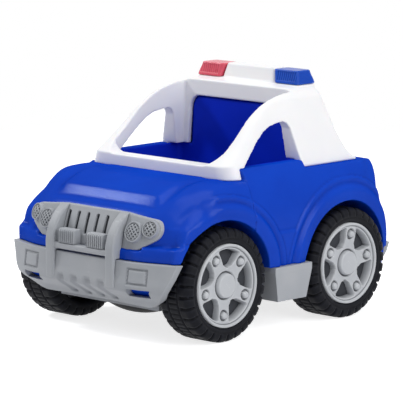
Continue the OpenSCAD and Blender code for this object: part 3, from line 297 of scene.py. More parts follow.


# the grain of a spark-eroded tool is about 0.1 mm; drawn at 0.5 to 1 mm so that it shows
# in every finish below, the edge colour is a painted highlight on sharp edges and the shade colour is painted shade in
# nooks
finishes = {
    # satin blue, deep in the shade with broad soft highlights
    "bodyBlue": makeFinish("moulded_ABS_blue", {
        "colour": "#0941be", "deep": "#083ab2", "edge": "#2c68e4", "shade": "#052484",
        "flow": 40, "cloud": 18, "grain": 0.9, "bump": 0.16, "rough": 0.22, "roughVary": 0.03,
        # strong painted shade in the creases and in the troughs round the flares, faint painted highlight on the edges
        "ior": 1.53, "shine": 0.0, "satin": 0.014, "sheen": "#d4e4ff", "edgeHighlight": 0.15, "nook": 0.8, "nookAt": 0.455}),
    # the tub's blue, a shade darker and flatter
    "tubBlue": makeFinish("moulded_PP_dark_blue", {
        "colour": "#0b2cc4", "deep": "#0a27b4", "edge": "#1a44d4", "shade": "#07197c",
        "flow": 35, "cloud": 16, "grain": 1.0, "bump": 0.12, "rough": 0.46, "roughVary": 0.06,
        "ior": 1.5, "shine": 0.0, "satin": 0.006, "sheen": "#dfeaff"}),
    # bright white, hardly any grain, faint warm and cool drift
    "cabWhite": makeFinish("moulded_ABS_white", {
        "colour": "#f4f4f5", "deep": "#eeeef1", "edge": "#f9f9f9", "shade": "#c9cad6",
        "flow": 45, "cloud": 20, "grain": 0.9, "bump": 0.06, "rough": 0.36, "roughVary": 0.05,
        "ior": 1.53, "shine": 0.25, "glow": 0.12}),
    # light grey trim, matt with a fine grain
    "trimGrey": makeFinish("moulded_PP_grey", {
        "colour": "#a9acb1", "deep": "#9fa3a9", "edge": "#d2d4d7", "shade": "#4f5157",
        "flow": 25, "cloud": 12, "grain": 0.8, "bump": 0.16, "rough": 0.47, "roughVary": 0.06,
        # strong painted shade in the nooks, flutes and grooves, slight painted highlight on the edges
        "ior": 1.5, "shine": 0.2, "edgeHighlightAt": 0.72, "edgeHighlight": 0.2, "nook": 0.85}),
    # wheel grey, a little cleaner and smoother
    "rimGrey": makeFinish("moulded_ABS_silver_grey", {
        "colour": "#bfc2c6", "deep": "#b6b9be", "edge": "#dfe1e3", "shade": "#4a4c51",
        "flow": 20, "cloud": 10, "grain": 0.7, "bump": 0.10, "rough": 0.40, "roughVary": 0.05,
        # strong painted highlight on the sharp edges and strong painted shade in the nooks round the bolts and cap
        "ior": 1.53, "shine": 0.25, "edgeHighlight": 0.6, "nook": 0.95, "nookAt": 0.45}),
    # red tinted cover, light passes in a little and softens the ribs
    "lensRed": makeFinish("moulded_polystyrene_red", {
        "colour": "#da5468", "deep": "#ce475c", "edge": "#e87f8f", "shade": "#8c1c30",
        "flow": 14, "cloud": 8, "grain": 0.8, "bump": 0.06, "rough": 0.27, "roughVary": 0.05,
        "ior": 1.59, "shine": 0.3, "glow": 0.25, "edgeHighlight": 0.5, "nook": 0.7}),
    # blue tinted cover, darker, and less light passes in
    "lensBlue": makeFinish("moulded_polystyrene_blue", {
        "colour": "#154ab8", "deep": "#1242aa", "edge": "#6f9cf4", "shade": "#061b5c",
        "flow": 14, "cloud": 8, "grain": 0.8, "bump": 0.06, "rough": 0.24, "roughVary": 0.05,
        "ior": 1.59, "shine": 0.08, "glow": 0.1, "edgeHighlight": 0.5, "nook": 0.7}),
    # soft black tyre, dull, with a pebbled skin; its sharp edges get a painted highlight and its notches painted shade
    "tyreBlack": makeFinish("moulded_PVC_black", {
        "colour": "#15161c", "deep": "#101116", "edge": "#353740", "shade": "#060608",
        "flow": 10, "cloud": 6, "grain": 0.9, "bump": 0.35, "rough": 0.5, "roughVary": 0.08,
        "ior": 1.52, "shine": 0.08, "edgeHighlight": 0.6, "nook": 0.9}),
    # black inner housings, plain and dull
    "innerBlack": makeFinish("moulded_PP_black", {
        "colour": "#1b1c20", "deep": "#15161a", "edge": "#2c2d33", "shade": "#08080a",
        "flow": 18, "cloud": 9, "grain": 0.9, "bump": 0.2, "rough": 0.55, "roughVary": 0.06,
        "ior": 1.5, "shine": 0.12}),
    # painted shade: darker grey sheets put on the floor of the wheel pockets and behind the grille slots, where these
    # lie in shade; dull
    "pocketGrey": makeFinish("moulded_PP_shaded_grey", {
        "colour": "#3f4146", "deep": "#35373c", "edge": "#6a6c70", "shade": "#232428",
        "flow": 12, "cloud": 6, "grain": 0.8, "bump": 0.2, "rough": 0.6, "roughVary": 0.06,
        "ior": 1.5, "shine": 0.1}),
    # drawn steel, bright with a fine uneven grain
    "steelRod": makeFinish("drawn_steel", {
        "colour": "#b9b9b6", "deep": "#a9a9a7", "edge": "#d6d6d2", "shade": "#6a6a68",
        "flow": 6, "cloud": 3, "grain": 0.5, "bump": 0.1, "rough": 0.3, "roughVary": 0.08,
        "ior": 1.5, "metal": 1.0}),
}


def paint(piece, finish):
    piece.data.materials.clear()
    piece.data.materials.append(finishes[finish])
    return piece


def useCadNode(name, finish, bevel=0.0):
    # shows the CAD solid itself
    piece = nodes[name]
    if piece.data.materials:
        for i in range(len(piece.data.materials)):
            piece.data.materials[i] = finishes[finish]
    else:
        piece.data.materials.append(finishes[finish])
    if bevel:
        bevelEdges(piece, bevel, 2, 35)
    return piece


print("materials ready:", len(finishes))


# body

bodySize = {
    "nose": 108, "noseTop": 86, "tail": -114, "half": 79, "apron": 30, "sill": 44, "shoulder": 60,
    "axle": 60, "axleZ": 38, "archR": 43, "wellY": 49.5, "endRound": 4, "squareness": 6,
    "noseRake": 8, "noseSweep": 8.5, "tailRake": 10.5, "tailTall": 62, "tailSweep": 7.5,
    "sweepFrom": 50, "sweepSlope": 0.41, "sweepSoft": 10,
    "crown": [[-114, 110], [-101, 114], [-88, 126], [31.5, 126], [36, 110], [44.5, 104.4], [69.75, 101.8],
              [95, 93.5], [108, 86]],
    "square": [[-114, 1], [-60, .57], [31.5, .53], [36, .95], [44.5, 1.25], [62, 1.35], [80, 1.1], [95, .88],
               [108, .67]],
    "plan": [[0, .93], [.1, .97], [.25, 1], [.62, 1], [.78, .985], [.9, .965], [1, .93]],
    "rake": [[0, 0], [.35, .05], [.6, .28], [.8, .6], [1, 1], [1.4, 1.5]],
    "tailLean": [[0, 0], [.18, .11], [.39, .37], [.565, .76], [.68, 1], [1, 1.06]],
    "flare": 2.0, "flareGrow": [[0, 1], [.6, 1], [.8, 1.4], [1, 2.2]],
    "fenderLift": [[40, .2], [52, 1.7], [64, 2.1], [80, 2.9], [90, 3.2], [99, 2.4], [108, .8]],
    "fenderIn": .03, "ledge": (65.2, 66.8), "ledgeDeep": 4.2,
    "shutX": 32.7, "shutW": 1.5, "shutD": 1.2,
    "shutLean": [[.5, 1], [.75, .995], [.86, .965], [.95, .89], [1.04, .79]],
    "belt": [(-125, 101), (-118, 102), (-87, 106), (-27, 106), (-27, 111), (32.7, 111), (32.7, 103.5),
             (44.8, 103.5), (44.8, 150), (-125, 150)],
    "skirt": ((43, 15), (43, 24), (55, 30), (62, 36), (69, 44), (120, 44), (120, 15)),
}
bonnetSize = {"start": 40, "back": 44.5, "front": 95, "end": 101, "fade": 3, "lift": 3.6, "backShare": .1,
              "band": -.65, "half": 43, "foot": 49.5}


def sweep(y):
    # how far the front curves back towards its sides
    s = bodySize
    d = abs(y) - s["sweepFrom"]
    return s["sweepSlope"] * (d + math.sqrt(d * d + s["sweepSoft"] ** 2)) / 2


def noseFace(y, z):
    s = bodySize
    lean = curve(s["rake"], (z - s["sill"]) / (s["noseTop"] - s["sill"]))
    return s["nose"] - s["noseRake"] * lean - min(sweep(y), s["noseSweep"])


def tailBow(y):
    return bodySize["tailSweep"] * (abs(y) / bodySize["half"]) ** 3


def tailFace(y, z):
    s = bodySize
    return s["tail"] + tailBow(y) + s["tailRake"] * curve(s["tailLean"], (z - s["sill"]) / s["tailTall"])


def alongCar(u, y, z):
    # u runs straight from tail to nose, x follows the leaning ends
    s = bodySize
    if u > s["axle"]:
        return mix(s["axle"], noseFace(y, z), (u - s["axle"]) / (s["nose"] - s["axle"]))
    if u < -s["axle"]:
        return mix(-s["axle"], tailFace(y, z), (u + s["axle"]) / (s["tail"] + s["axle"]))
    return u


def fromAxle(x, z, end):
    # distance from the front (1) or rear (-1) axle, seen from the side
    return math.hypot(x - end * bodySize["axle"], z - bodySize["axleZ"])


def flareHeight(x, z):
    # the swelling round a wheel: flat band, round ridge, trough, then a crease where it meets the panel
    r = min(fromAxle(x, z, 1), fromAxle(x, z, -1))
    ridge = 0.75 + 0.6 * ease(bodySize["archR"], 50.5, r)
    side = (ridge - 1.2 * ease(51.0, 55.0, r) + 0.5 * ease(55.2, 58.0, r)) * (1 - ease(58.5, 59.7, r))
    return mix(side, ridge * (1 - ease(50.5, 63, r)), ease(62, 76, x))  # softer towards the nose


def bonnetLift(u, y):
    # the raised middle of the bonnet, dropping to a flat bright band above the grille
    s = bonnetSize
    if u < s["start"] or u > s["end"] + s["fade"]:
        return 0
    if u <= s["front"]:
        share = min(1, max(0, (u - s["back"]) / (s["front"] - s["back"])))
        high = s["lift"] * mix(s["backShare"], 1, share)
    else:
        high = mix(s["lift"], s["band"], min(1, (u - s["front"]) / (s["end"] - s["front"])))
    if u > s["end"]:
        high *= 1 - (u - s["end"]) / s["fade"]
    return high * (1 - ease(s["half"], s["foot"], abs(y)))


def belowLedge(z):
    return 1 - ease(*bodySize["ledge"], z)


def ledge(y, z):
    # the block below the grille stands forward, with room left for the grille's foot
    foot = ease(0, .6, z - 60.1 - 2.9 * ease(28, 31, abs(y)))
    return bodySize["ledgeDeep"] * belowLedge(z) * (1 - (1 - ease(48, 49.6, abs(y))) * foot)


def bodyRing(u, inset=0.0):
    # section across the car: upright side, squarish crown, then the flares pushed out along the surface
    s = bodySize
    share = (u - s["tail"]) / (s["nose"] - s["tail"])
    half = s["half"] * curve(s["plan"], share) - inset
    high = curve(s["crown"], u) - inset - s["shoulder"]
    n = s["squareness"] * curve(s["square"], u)
    flat = []
    for k in range(40):
        z = mix(s["apron"], s["shoulder"], k / 40)
        flat.append((half - 1.2 * max(0, (s["shoulder"] - z) / (s["shoulder"] - s["sill"])) ** 2, z))
    for k in range(101):
        a = math.pi / 2 * k / 100
        d = (math.cos(a) ** n + math.sin(a) ** n) ** (-1 / n)
        y, z = half * math.cos(a) * d, s["shoulder"] + high * math.sin(a) * d
        y *= 1 - s["fenderIn"] * ease(88, s["nose"], u) * ease(65.5, 68, z)  # in from the block below it
        lift = bonnetLift(u, y) + curve(s["fenderLift"], u) * ease(49, 58, y)
        flat.append((y, z + lift * ease(36, 50, k)))
    grown = []
    grow = s["flare"] * curve(s["flareGrow"], share)
    for k, (y, z) in enumerate(flat):
        a, b = flat[max(0, k - 1)], flat[min(len(flat) - 1, k + 1)]
        ny, nz = b[1] - a[1], a[0] - b[0]
        size = math.hypot(ny, nz) or 1
        x = alongCar(u, y, z)
        out = 0
        if z > s["sill"] - 1 and y > s["wellY"]:
            out = flareHeight(x, z)
            if u > s["axle"]:  # the flare runs on into the block below the grille
                out = mix(out, max(out, 1), belowLedge(z) * ease(45, 53, fromAxle(x, z, 1)))
            out *= grow * (1 - ease(.3, .75, nz / size) * ease(72, 80, z)) * (1 - ease(77, 93, z) * ease(62, 76, x))
            door = 1 - ease(66.8, 68, z)  # the foot of the door stands out between the wheels
            for end in (1, -1):
                door *= ease(-2, 3, fromAxle(x, z, end) - 59)
            out += door * (abs(x) < s["axle"])
        grown.append((y + ny / size * out, z + nz / size * out))
    ring = grown + [(-y, z) for y, z in reversed(grown[:-1])]
    return [(alongCar(u, y, z), y, z) for y, z in ring]


def bodyHull():
    s = bodySize
    rings = []

    def curl(t):
        return s["endRound"] * (1 - math.cos(math.pi / 2 * t))

    def fan(ring, share, front):
        # ring drawn in towards the middle of the end, still on the end's face
        out = []
        for _, y, z in ring:
            y2, z2 = y * share, mix(58, z, share)
            face = noseFace(y2, z2) + ledge(y2, z2) if front else tailFace(y2, z2)
            out.append((face, y2, z2))
        return out

    tailRing = bodyRing(s["tail"], s["endRound"])
    for k in range(1, 14):
        rings.append(fan(tailRing, k / 14, False))
    for k in range(9):
        rings.append(bodyRing(s["tail"] + curl(k / 8), curl(1 - k / 8)))
    count = 230
    for k in range(1, count):
        rings.append(bodyRing(mix(s["tail"] + s["endRound"], s["nose"] - s["endRound"], k / count)))
    for k in range(9):
        t = k / 8
        noseRing = bodyRing(s["nose"] - curl(1 - t), curl(t))
        rings.append([(x + ledge(y, z) * t, y, z) for x, y, z in noseRing])
    for k in range(27, 0, -1):
        rings.append(fan(noseRing, k / 28, True))
    return loft("body", rings)


def acrossWheel(name, side, x, r, y0, y1, count=128):
    # round cutter on a wheel's axis
    angles = [2 * math.pi * k / count for k in range(count)]
    outline = [(x + r * math.cos(a), bodySize["axleZ"] + r * math.sin(a)) for a in angles]
    return prism(name, outline, "xz", min(side * y0, side * y1), max(side * y0, side * y1))


def makeBody():
    s = bodySize
    cuts = [prism("belt", s["belt"], "xz", -pastSide, pastSide),
            prism("under", [(-98.5, 0), (92.5, 0), (92.5, s["sill"]), (-98.5, s["sill"])], "xz", -pastSide, pastSide),
            prism("hole", rounded(-42, -60, 30.7, 60, 6), "xy", 40, 140)]
    for side in (-1, 1):
        for x in (s["axle"], -s["axle"]):
            cuts.append(acrossWheel("arch", side, x, s["archR"], s["wellY"], pastSide))
        cuts.append(prism("skirt", [(side * y, z) for y, z in s["skirt"]], "yz", 70, 125))
        shut = []
        for k in range(25):
            z = mix(60, 113, k / 24)
            y = s["half"] * curve(s["shutLean"], z / 111) - s["shutD"] + .4
            shut.append([(s["shutX"] + a * s["shutW"] / 2, side * (y + b), z)
                         for a, b in ((-1, 0), (1, 0), (1, 12), (-1, 12))])
        cuts.append(loft("shut", shut))
    cuts.append(bumperBlock("bumperRoom", 0.3, 30))
    cuts.append(rearBlock("rearRoom", 0.3, 30))
    body = finishShape(bodyHull(), (), cuts, voxel=0.65, rounds=4, faces=185000)
    body.name = "body_panels"
    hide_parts("body_shell")
    return paint(body, "bodyBlue")


# bumpers

bumperSize = {
    "low": 24.5, "top": 56, "half": 77.8, "front": 117, "deep": 18.5, "thick": 6, "tyreRoom": 39.5, "tyreY": 45,
    "reach": [[0, 0], [.05, .12], [.16, .34], [.21, .48], [.31, .78], [.395, .955], [.52, 1], [.72, .94], [1, .88]],
    "wide": [[0, .63], [.04, .68], [.38, .876], [1, 1]],
    "flutes": (-19.2, -6.4, 6.4, 19.2), "fluteHalf": 3.6, "fluteDeep": 2.7,
    "lampFrame": (50, 46.8, 16, 11, 1.5, 1.3),  # y, z, width, height, line, depth
    "window": (49.9, 35.8, 9, 2.7, 1),  # y, z, half width, half height, slant
}


def bumperFront(y, t):
    s = bumperSize
    hollow = s["deep"] * (1 - curve(s["reach"], t)) * (1 - .45 * (y / s["half"]) ** 2)
    return s["front"] - sweep(y) - hollow


def bumperMarks(y, z, t):
    # how far the face is pressed in: flutes in the middle, a frame on each side
    s = bumperSize
    deep = 0
    for c in s["flutes"]:
        d = abs(y - c) / s["fluteHalf"]
        if d < 1:
            deep = max(deep, s["fluteDeep"] * (1 - d * d) * ease(.06, .12, t) * (1 - ease(.47, .58, t)))
    cy, cz, w, h, line, cut = s["lampFrame"]
    off = max(abs(abs(y) - cy) - w / 2, abs(z - cz) - h / 2)
    return max(deep, cut * (1 - ease(line * .3, line * .75, abs(off + line / 2))))


def bumperBlock(name, grow=0.0, ahead=0.0):
    # the bumper itself, or with grow the plain room that it needs in the body
    s = bumperSize
    rings = []
    rows, cols = (40, 60) if grow else (90, 220)
    for i in range(rows + 1):
        t = i / rows
        z = mix(s["low"] - grow, s["top"] + grow, t)
        half = s["half"] * curve(s["wide"], t) + grow
        front, back = [], []
        for j in range(cols + 1):
            y = half * (2 * j / cols - 1)
            x = bumperFront(y, t)
            front.append((x + ahead - (0 if grow else bumperMarks(y, z, t)), y, z))
            back.append((x - s["thick"] - grow, y, z))
        rings.append(front + back[::-1])
    return loft(name, rings)


def makeBumper():
    s = bumperSize
    y, z, half, tall, slant = s["window"]
    cuts = []
    for side in (-1, 1):
        cuts.append(acrossWheel("tyreRoom", side, bodySize["axle"], s["tyreRoom"], s["tyreY"], pastSide))
        outline = [(side * y + a * half + b * slant, z + b * tall) for a, b in ((-1, -1), (1, -1), (1, 1), (-1, 1))]
        cuts.append(prism("slot", outline, "yz", 60, 130))
    bumper = finishShape(bumperBlock("bumper"), cuts=cuts, voxel=0.36, rounds=3, faces=180000)
    bumper.name = "bumper_front"
    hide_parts("front_bumper")
    return paint(bumper, "trimGrey")


rearSize = {
    "top": 46, "half": 73.5, "end": 118, "deep": 11, "markDeep": 0.8,
    "reach": [[0, .35], [.15, .7], [.4, .95], [.6, 1], [1, .9]],
    "reflector": (46, 37, 9, 4), "plate": (0, 36.5, 20, 5),  # y, z, half width, half height
}


def rearFace(y, t):
    s = rearSize
    return s["deep"] * (1 - curve(s["reach"], t)) + tailBow(y) - s["end"]


def rearMarks(y, z):
    # two plain reflector frames and a plate recess pressed into the face
    def off(mark):
        cy, cz, half, tall = rearSize[mark]
        return max(abs(abs(y) - cy) - half, abs(z - cz) - tall)

    return rearSize["markDeep"] * max(1 - ease(.4, 1.1, abs(off("reflector"))), 1 - ease(-.4, .4, off("plate")))


def rearBlock(name, grow=0.0, behind=0.0):
    s = rearSize
    rings = []
    for i in range(61):
        t = i / 60
        z = mix(bumperSize["low"] - grow, s["top"] + grow, t)
        half = s["half"] * curve(bumperSize["wide"], t) + grow
        outer, inner = [], []
        for j in range(121):
            y = half * (2 * j / 120 - 1)
            x = rearFace(y, t)
            outer.append((x - behind + (0 if grow else rearMarks(y, z)), y, z))
            inner.append((x + bumperSize["thick"] + grow, y, z))
        rings.append(inner + outer[::-1])
    return loft(name, rings)


def makeRearBumper():
    s = bumperSize
    cuts = [acrossWheel("tyreRoom", side, -bodySize["axle"], s["tyreRoom"], s["tyreY"], pastSide) for side in (-1, 1)]
    bumper = finishShape(rearBlock("rearBumper"), cuts=cuts, voxel=0.55, rounds=5, faces=90000)
    bumper.name = "bumper_rear"
    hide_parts("rear_bumper")
    return paint(bumper, "trimGrey")


makeBody()
makeBumper()
makeRearBumper()
print("body and bumpers done")


# cab

cabSize = {
    "low": 103.5, "roof": 157.6, "lowWide": 136.6, "roofWide": 104, "crownIn": 7, "corner": 7, "footCorner": 13,
    "frontLow": 44.5, "frontTop": -45, "backLow": 87, "backTop": 63, "windowX": (-27, 33), "windowZ": (103.5, 137.2),
    "front": [[0, 1], [.16, 1], [.2, .97], [.27, .91], [.434, .775], [.656, .63], [.837, .469], [.92, .325],
              [.98, .168], [1, .06]],
    "back": [[0, 1], [.04, 1], [.08, .88], [.16, .66], [.32, .46], [.57, .24], [.8, .09], [.95, 0], [1, -.12]],
    "crown": [[0, 0], [.86, 0], [.94, .25], [.98, .6], [1, 1]],
    "foot": [[0, 1], [.16, 1], [.45, 0]],
    "window": [(-.06, -.3), (.02, .4), (.063, .86), (.1, .96), (.156, 1), (.242, .985), (.381, .942), (.4975, .854),
               (.632, .688), (.85, .347), (1, .085), (1, -.3)],
    "bar": (-62.2, -43, 47.7), "block": (-60.2, -45, 25),  # back, front, half width
}


def makeCab():
    s = cabSize
    rings = []
    for i in range(91):
        t = i / 90
        half = mix(s["lowWide"], s["roofWide"], t) / 2 - s["crownIn"] * curve(s["crown"], t)
        front = mix(s["frontTop"], s["frontLow"], curve(s["front"], t))
        back = -mix(s["backTop"], s["backLow"], curve(s["back"], t))
        foot = mix(s["corner"], s["footCorner"], curve(s["foot"], t))
        z = mix(s["low"], s["roof"], t)
        radii = [foot, foot, s["corner"], s["corner"]]
        rings.append([(x, y, z) for x, y in rounded(back, -half, front, half, radii, 10)])
    window = [(mix(*s["windowX"], a), mix(*s["windowZ"], b)) for a, b in s["window"]]
    cuts = [prism("gateFront", gate(52, 112, 47.5, 211.7, 9, 11), "yz", 32.8, 60),
            prism("gateMiddle", gate(53, 90, 47.5, 211.7, 9), "yz", -34, 33),
            prism("windows", window, "xz", -pastSide, pastSide),
            prism("hoop", gate(50, 90, 45.5, 145.4, 9), "yz", -43, -33),
            prism("seatRoom", gate(54, 90, 49.5, 149.4, 9), "yz", -44, -38),
            prism("deck", [(-130, 80), (10, 80), (10, 106), (-130, 106)], "xz", -pastSide, pastSide),
            prism("tubRoom", rounded(-42.3, -60.3, 20, 60.3, 3), "xy", 80, 111),
            prism("doorTop", [(-27, 80), (33, 80), (33, 111), (-27, 111)], "xz", -pastSide, pastSide)]
    back, front, half = s["bar"]
    base = prism("barBase", rounded(back, -half, front, half, 3), "xy", 152, 158.4)
    back, front, half = s["block"]
    block = loft("barBlock", [[(x, y, z) for x, y in rounded(back + dx, -half + dy, front - dx, half - dy, 2.5)]
                              for z, dx, dy in ((157, 0, 0), (160, .2, .3), (168.4, 2.2, 2.4))])
    cab = finishShape(loft("cab", rings), [base, block], cuts, voxel=0.65, rounds=5, faces=150000)
    cab.name = "cab_frame"
    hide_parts("cabin_top")
    return paint(cab, "cabWhite")


lensSize = {
    "low": 158.7, "top": 167.9, "tall": 9.7, "back": -62.2, "front": -43, "inner": 25.6, "outer": 47.7,
    "lean": 2.4, "outerLean": 2.8, "corner": 2.6, "ribPitch": 1.9, "ribDeep": .55,
}


def makeLens(name, node, side, finish):
    # ribbed cover: flat ribs on the front and the back, soft corners
    s = lensSize
    rings = []
    for i in range(41):
        z = mix(s["low"], s["top"], i / 40)
        t = (z - s["low"]) / s["tall"]
        t = ease(0, 1, t) * .5 + t * .5
        dx = s["lean"] * t
        outline = rounded(s["back"] + dx, s["inner"] - dx, s["front"] - dx, s["outer"] - s["outerLean"] * t,
                          s["corner"], 10)
        rings.append([(x, side * y, z) for x, y in outline])
    cover = finishShape(loft(name, rings), voxel=0.4, rounds=8, faces=60000)
    # fine upright ribs: each point on the front and back is moved by a wave along the bar
    middle = (s["back"] + s["front"]) / 2
    for v in cover.data.vertices:
        x, y, z = v.co.x / mm, abs(v.co.y) / mm, v.co.z / mm
        face = (ease(.55, .9, abs(v.normal.x)) * ease(160.2, 161.2, z) * (1 - ease(166.2, 167.4, z))
                * ease(27, 28, y) * (1 - ease(45, 46, y)))
        wave = .5 + .5 * math.cos(2 * math.pi * y / s["ribPitch"])
        v.co.x += (1 if x < middle else -1) * mm * face * s["ribDeep"] * wave
    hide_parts(node)
    return paint(cover, finish)


makeCab()
makeLens("beacon_red", "red_lens", -1, "lensRed")
makeLens("beacon_blue", "blue_lens", 1, "lensBlue")
print("cab and light bar done")


# cockpit

tubSize = {
    "back": -41.7, "front": 30.4, "low": 55.6, "top": 110.7, "lowHalf": 44.5, "topHalf": 59.7,
    "wellBack": -36, "wellFront": 28, "wellLow": 58, "ledgeTop": 84, "wellHalf": 42.1, "ledgeHalf": 57.3,
    "benchTop": 72, "benchFront": -14.7, "benchHalf": 42.5,
}


def makeTub():
    s = tubSize
    above = 140  # the well is cut right through the top

    def box(name, back, front, half, corner, low, top):
        return prism(name, rounded(back, -half, front, half, corner), "xy", low, top)

    tub = box("tub", s["back"], s["front"], s["lowHalf"], 3, s["low"], 90)
    combine(tub, [box("tubTop", s["back"], s["front"], s["topHalf"], 6, 81.6, s["top"])],
            [box("well", s["wellBack"], s["wellFront"], s["wellHalf"], 3, s["wellLow"], above),
             box("wellTop", s["wellBack"], s["wellFront"], s["ledgeHalf"], 4, s["ledgeTop"], above)])
    seat = [prism("seatBack", gate(52, 60, 47.5, 147.4, 9), "yz", s["back"], -38.7),
            box("bench", -39, s["benchFront"], s["benchHalf"], 3, 56, s["benchTop"]),
            prism("backPlate", gate(48.6, 60, 44.2, 144.2, 8), "yz", -39, -36)]
    finishShape(tub, seat, voxel=0.7, rounds=5, faces=120000)
    tub.name = "cockpit_lining"
    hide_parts("cockpit_tub")
    return paint(tub, "tubBlue")


makeTub()


# grille and lamps

grilleSize = {
    "low": 61, "top": 86, "thick": 3.4, "stand": 2.5,
    "slots": 6, "slotW": 2.8, "slotPitch": 9, "slotLow": 68.2, "slotTop": 82.2, "backing": (66.8, 83.4, 25.5),
    "middle": [(-45, 66.5, 3), (45, 66.5, 3), (-28.3, 83, 3), (28.3, 83, 3), (-25, 64, 3), (25, 64, 3)],  # y, z, r
    "pod": [(53.2, 76.2, 7.3), (40.8, 74.4, 9.2), (45, 66.5, 3), (28.3, 83, 3)],
    "lamps": ((40.8, 74.4, 7.2), (53.2, 77.2, 6.0)),
}


def grilleFront(y, z):
    return noseFace(0, z) - sweep(y) + grilleSize["stand"]


def convexHull(points):
    points = sorted(set(points))

    def turn(a, b, c):
        return (b[0] - a[0]) * (c[1] - a[1]) - (b[1] - a[1]) * (c[0] - a[0])

    def half(seq):
        out = []
        for p in seq:
            while len(out) > 1 and turn(out[-2], out[-1], p) <= 0:
                out.pop()
            out.append(p)
        return out[:-1]

    return half(points) + half(points[::-1])


def discHull(discs):
    # outline stretched round the discs
    return convexHull([(round(y + r * math.cos(a), 5), round(z + r * math.sin(a), 5))
                       for y, z, r in discs for a in [2 * math.pi * k / 72 for k in range(72)]])


def reachAt(outline, z):
    # furthest y of the outline at this height
    best = None
    for (y0, z0), (y1, z1) in zip(outline, outline[1:] + outline[:1]):
        if min(z0, z1) <= z <= max(z0, z1) and z0 != z1:
            y = mix(y0, y1, (z - z0) / (z1 - z0))
            best = y if best is None else max(best, y)
    return best


def grilleRing(across, z, front, back):
    # level slice of a sheet that follows the grille's face
    rows = [(grilleFront(y, z), y) for y in across]
    return [(x - front, y, z) for x, y in rows] + [(x - back, y, z) for x, y in rows[::-1]]


def makeGrille():
    s = grilleSize
    middle, pod = discHull(s["middle"]), discHull(s["pod"])
    rings = []
    for i in range(71):
        z = mix(s["low"] + .02, s["top"] - .02, i / 70)
        half = max(v for v in (reachAt(middle, z), reachAt(pod, z)) if v is not None)
        rings.append(grilleRing([half * (2 * j / 120 - 1) for j in range(121)], z, 0, s["thick"]))
    cuts = []
    for k in range(s["slots"]):
        y, half = (k - (s["slots"] - 1) / 2) * s["slotPitch"], s["slotW"] / 2
        cuts.append(prism("slot", rounded(y - half, s["slotLow"], y + half, s["slotTop"], 1.2), "yz", 60, 130))
    grille = finishShape(loft("grille", rings), cuts=cuts, voxel=0.4, rounds=4, faces=120000)
    grille.name = "grille_plate"
    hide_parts("grille_panel")
    paint(grille, "trimGrey")
    low, top, half = s["backing"]  # painted shade: dark sheet behind the slots, where they lie in shade
    across = [mix(-half, half, j / 40) for j in range(41)]
    backing = dress(loft("grille_backing", [grilleRing(across, mix(low, top, i / 30), 1.5, 2.4) for i in range(31)]))
    paint(backing, "pocketGrey")
    for side in (-1, 1):
        for k, (y, z, r) in enumerate(s["lamps"]):
            makeLamp(f"headlamp_{'left' if side > 0 else 'right'}_{k + 1}", side * y, z, r)
    return grille


def faceNormal(y, z, d=1.5):
    a = Vector((grilleFront(y + d, z) - grilleFront(y - d, z), 2 * d, 0))
    b = Vector((grilleFront(y, z + d) - grilleFront(y, z - d), 0, 2 * d))
    return a.cross(b).normalized()


lampSize = {"stand": 2.6, "lip": .5, "dome": 1.1, "groove": .5, "mesh": 3.1, "pit": 1.5, "sunk": 0.4, "foot": 1.2}


def lampHeight(r, q, a):
    # raised ring, then a domed glass with a moulded diamond mesh; q runs from 0 in the middle to 1 at the rim
    s = lampSize
    ring = s["stand"] * (1 - ease(.95, 1.0, q)) + s["lip"] * ease(.80, .84, q) * (1 - ease(.93, .97, q))
    dome = s["dome"] * (1 - (q / .8) ** 2) if q < .8 else 0
    groove = s["groove"] * ease(.76, .79, q) * (1 - ease(.80, .84, q))
    u, w = r * math.cos(a), r * math.sin(a)
    net = max(abs(((u + w) / s["mesh"]) % 1 - .5), abs(((u - w) / s["mesh"]) % 1 - .5)) * 2
    pits = s["pit"] * (1 - ease(.50, .72, net)) * (1 - ease(.70, .76, q))
    return ring + dome - groove - pits


def makeLamp(name, y, z, size):
    normal = faceNormal(y, z)
    down = Vector((0, 1, 0)).cross(normal).normalized()
    along = normal.cross(down).normalized()
    centre = Vector((grilleFront(y, z), y, z)) - normal * lampSize["sunk"]
    steps, count = 70, 200

    def row(r, height):
        angles = [2 * math.pi * k / count for k in range(count)]
        return [tuple(centre + (down * math.cos(a) + along * math.sin(a)) * r + normal * height(a)) for a in angles]

    rows = []
    for i in range(1, steps + 1):
        r = size * i / steps
        rows.append(row(r, lambda a: lampHeight(r, r / size, a)))
    rows.append(row(size, lambda a: -lampSize["foot"]))
    lamp = dress(domed(name, tuple(centre + normal * lampHeight(0, 0, 0)), rows))
    return paint(lamp, "trimGrey")


makeGrille()
print("grille and headlamps done")


# push bar

pushSize = {
    "y": 28.3, "wide": 7.8, "low": 37.8, "top": 86, "foot": 100, "reach": 18, "gap": .3, "thinnest": 2.4,
    "bow": [[0, .975], [.12, .99], [.3, 1], [.5, 1], [.68, .9], [.84, .66], [.94, .4], [1, .18]],
    "frontEdge": 1.7, "backEdge": .6,
}
spotSize = {"y": 13.4, "z": 66.7, "back": 110.2, "half": 7.7, "ribs": 8, "ribDeep": 1.1}


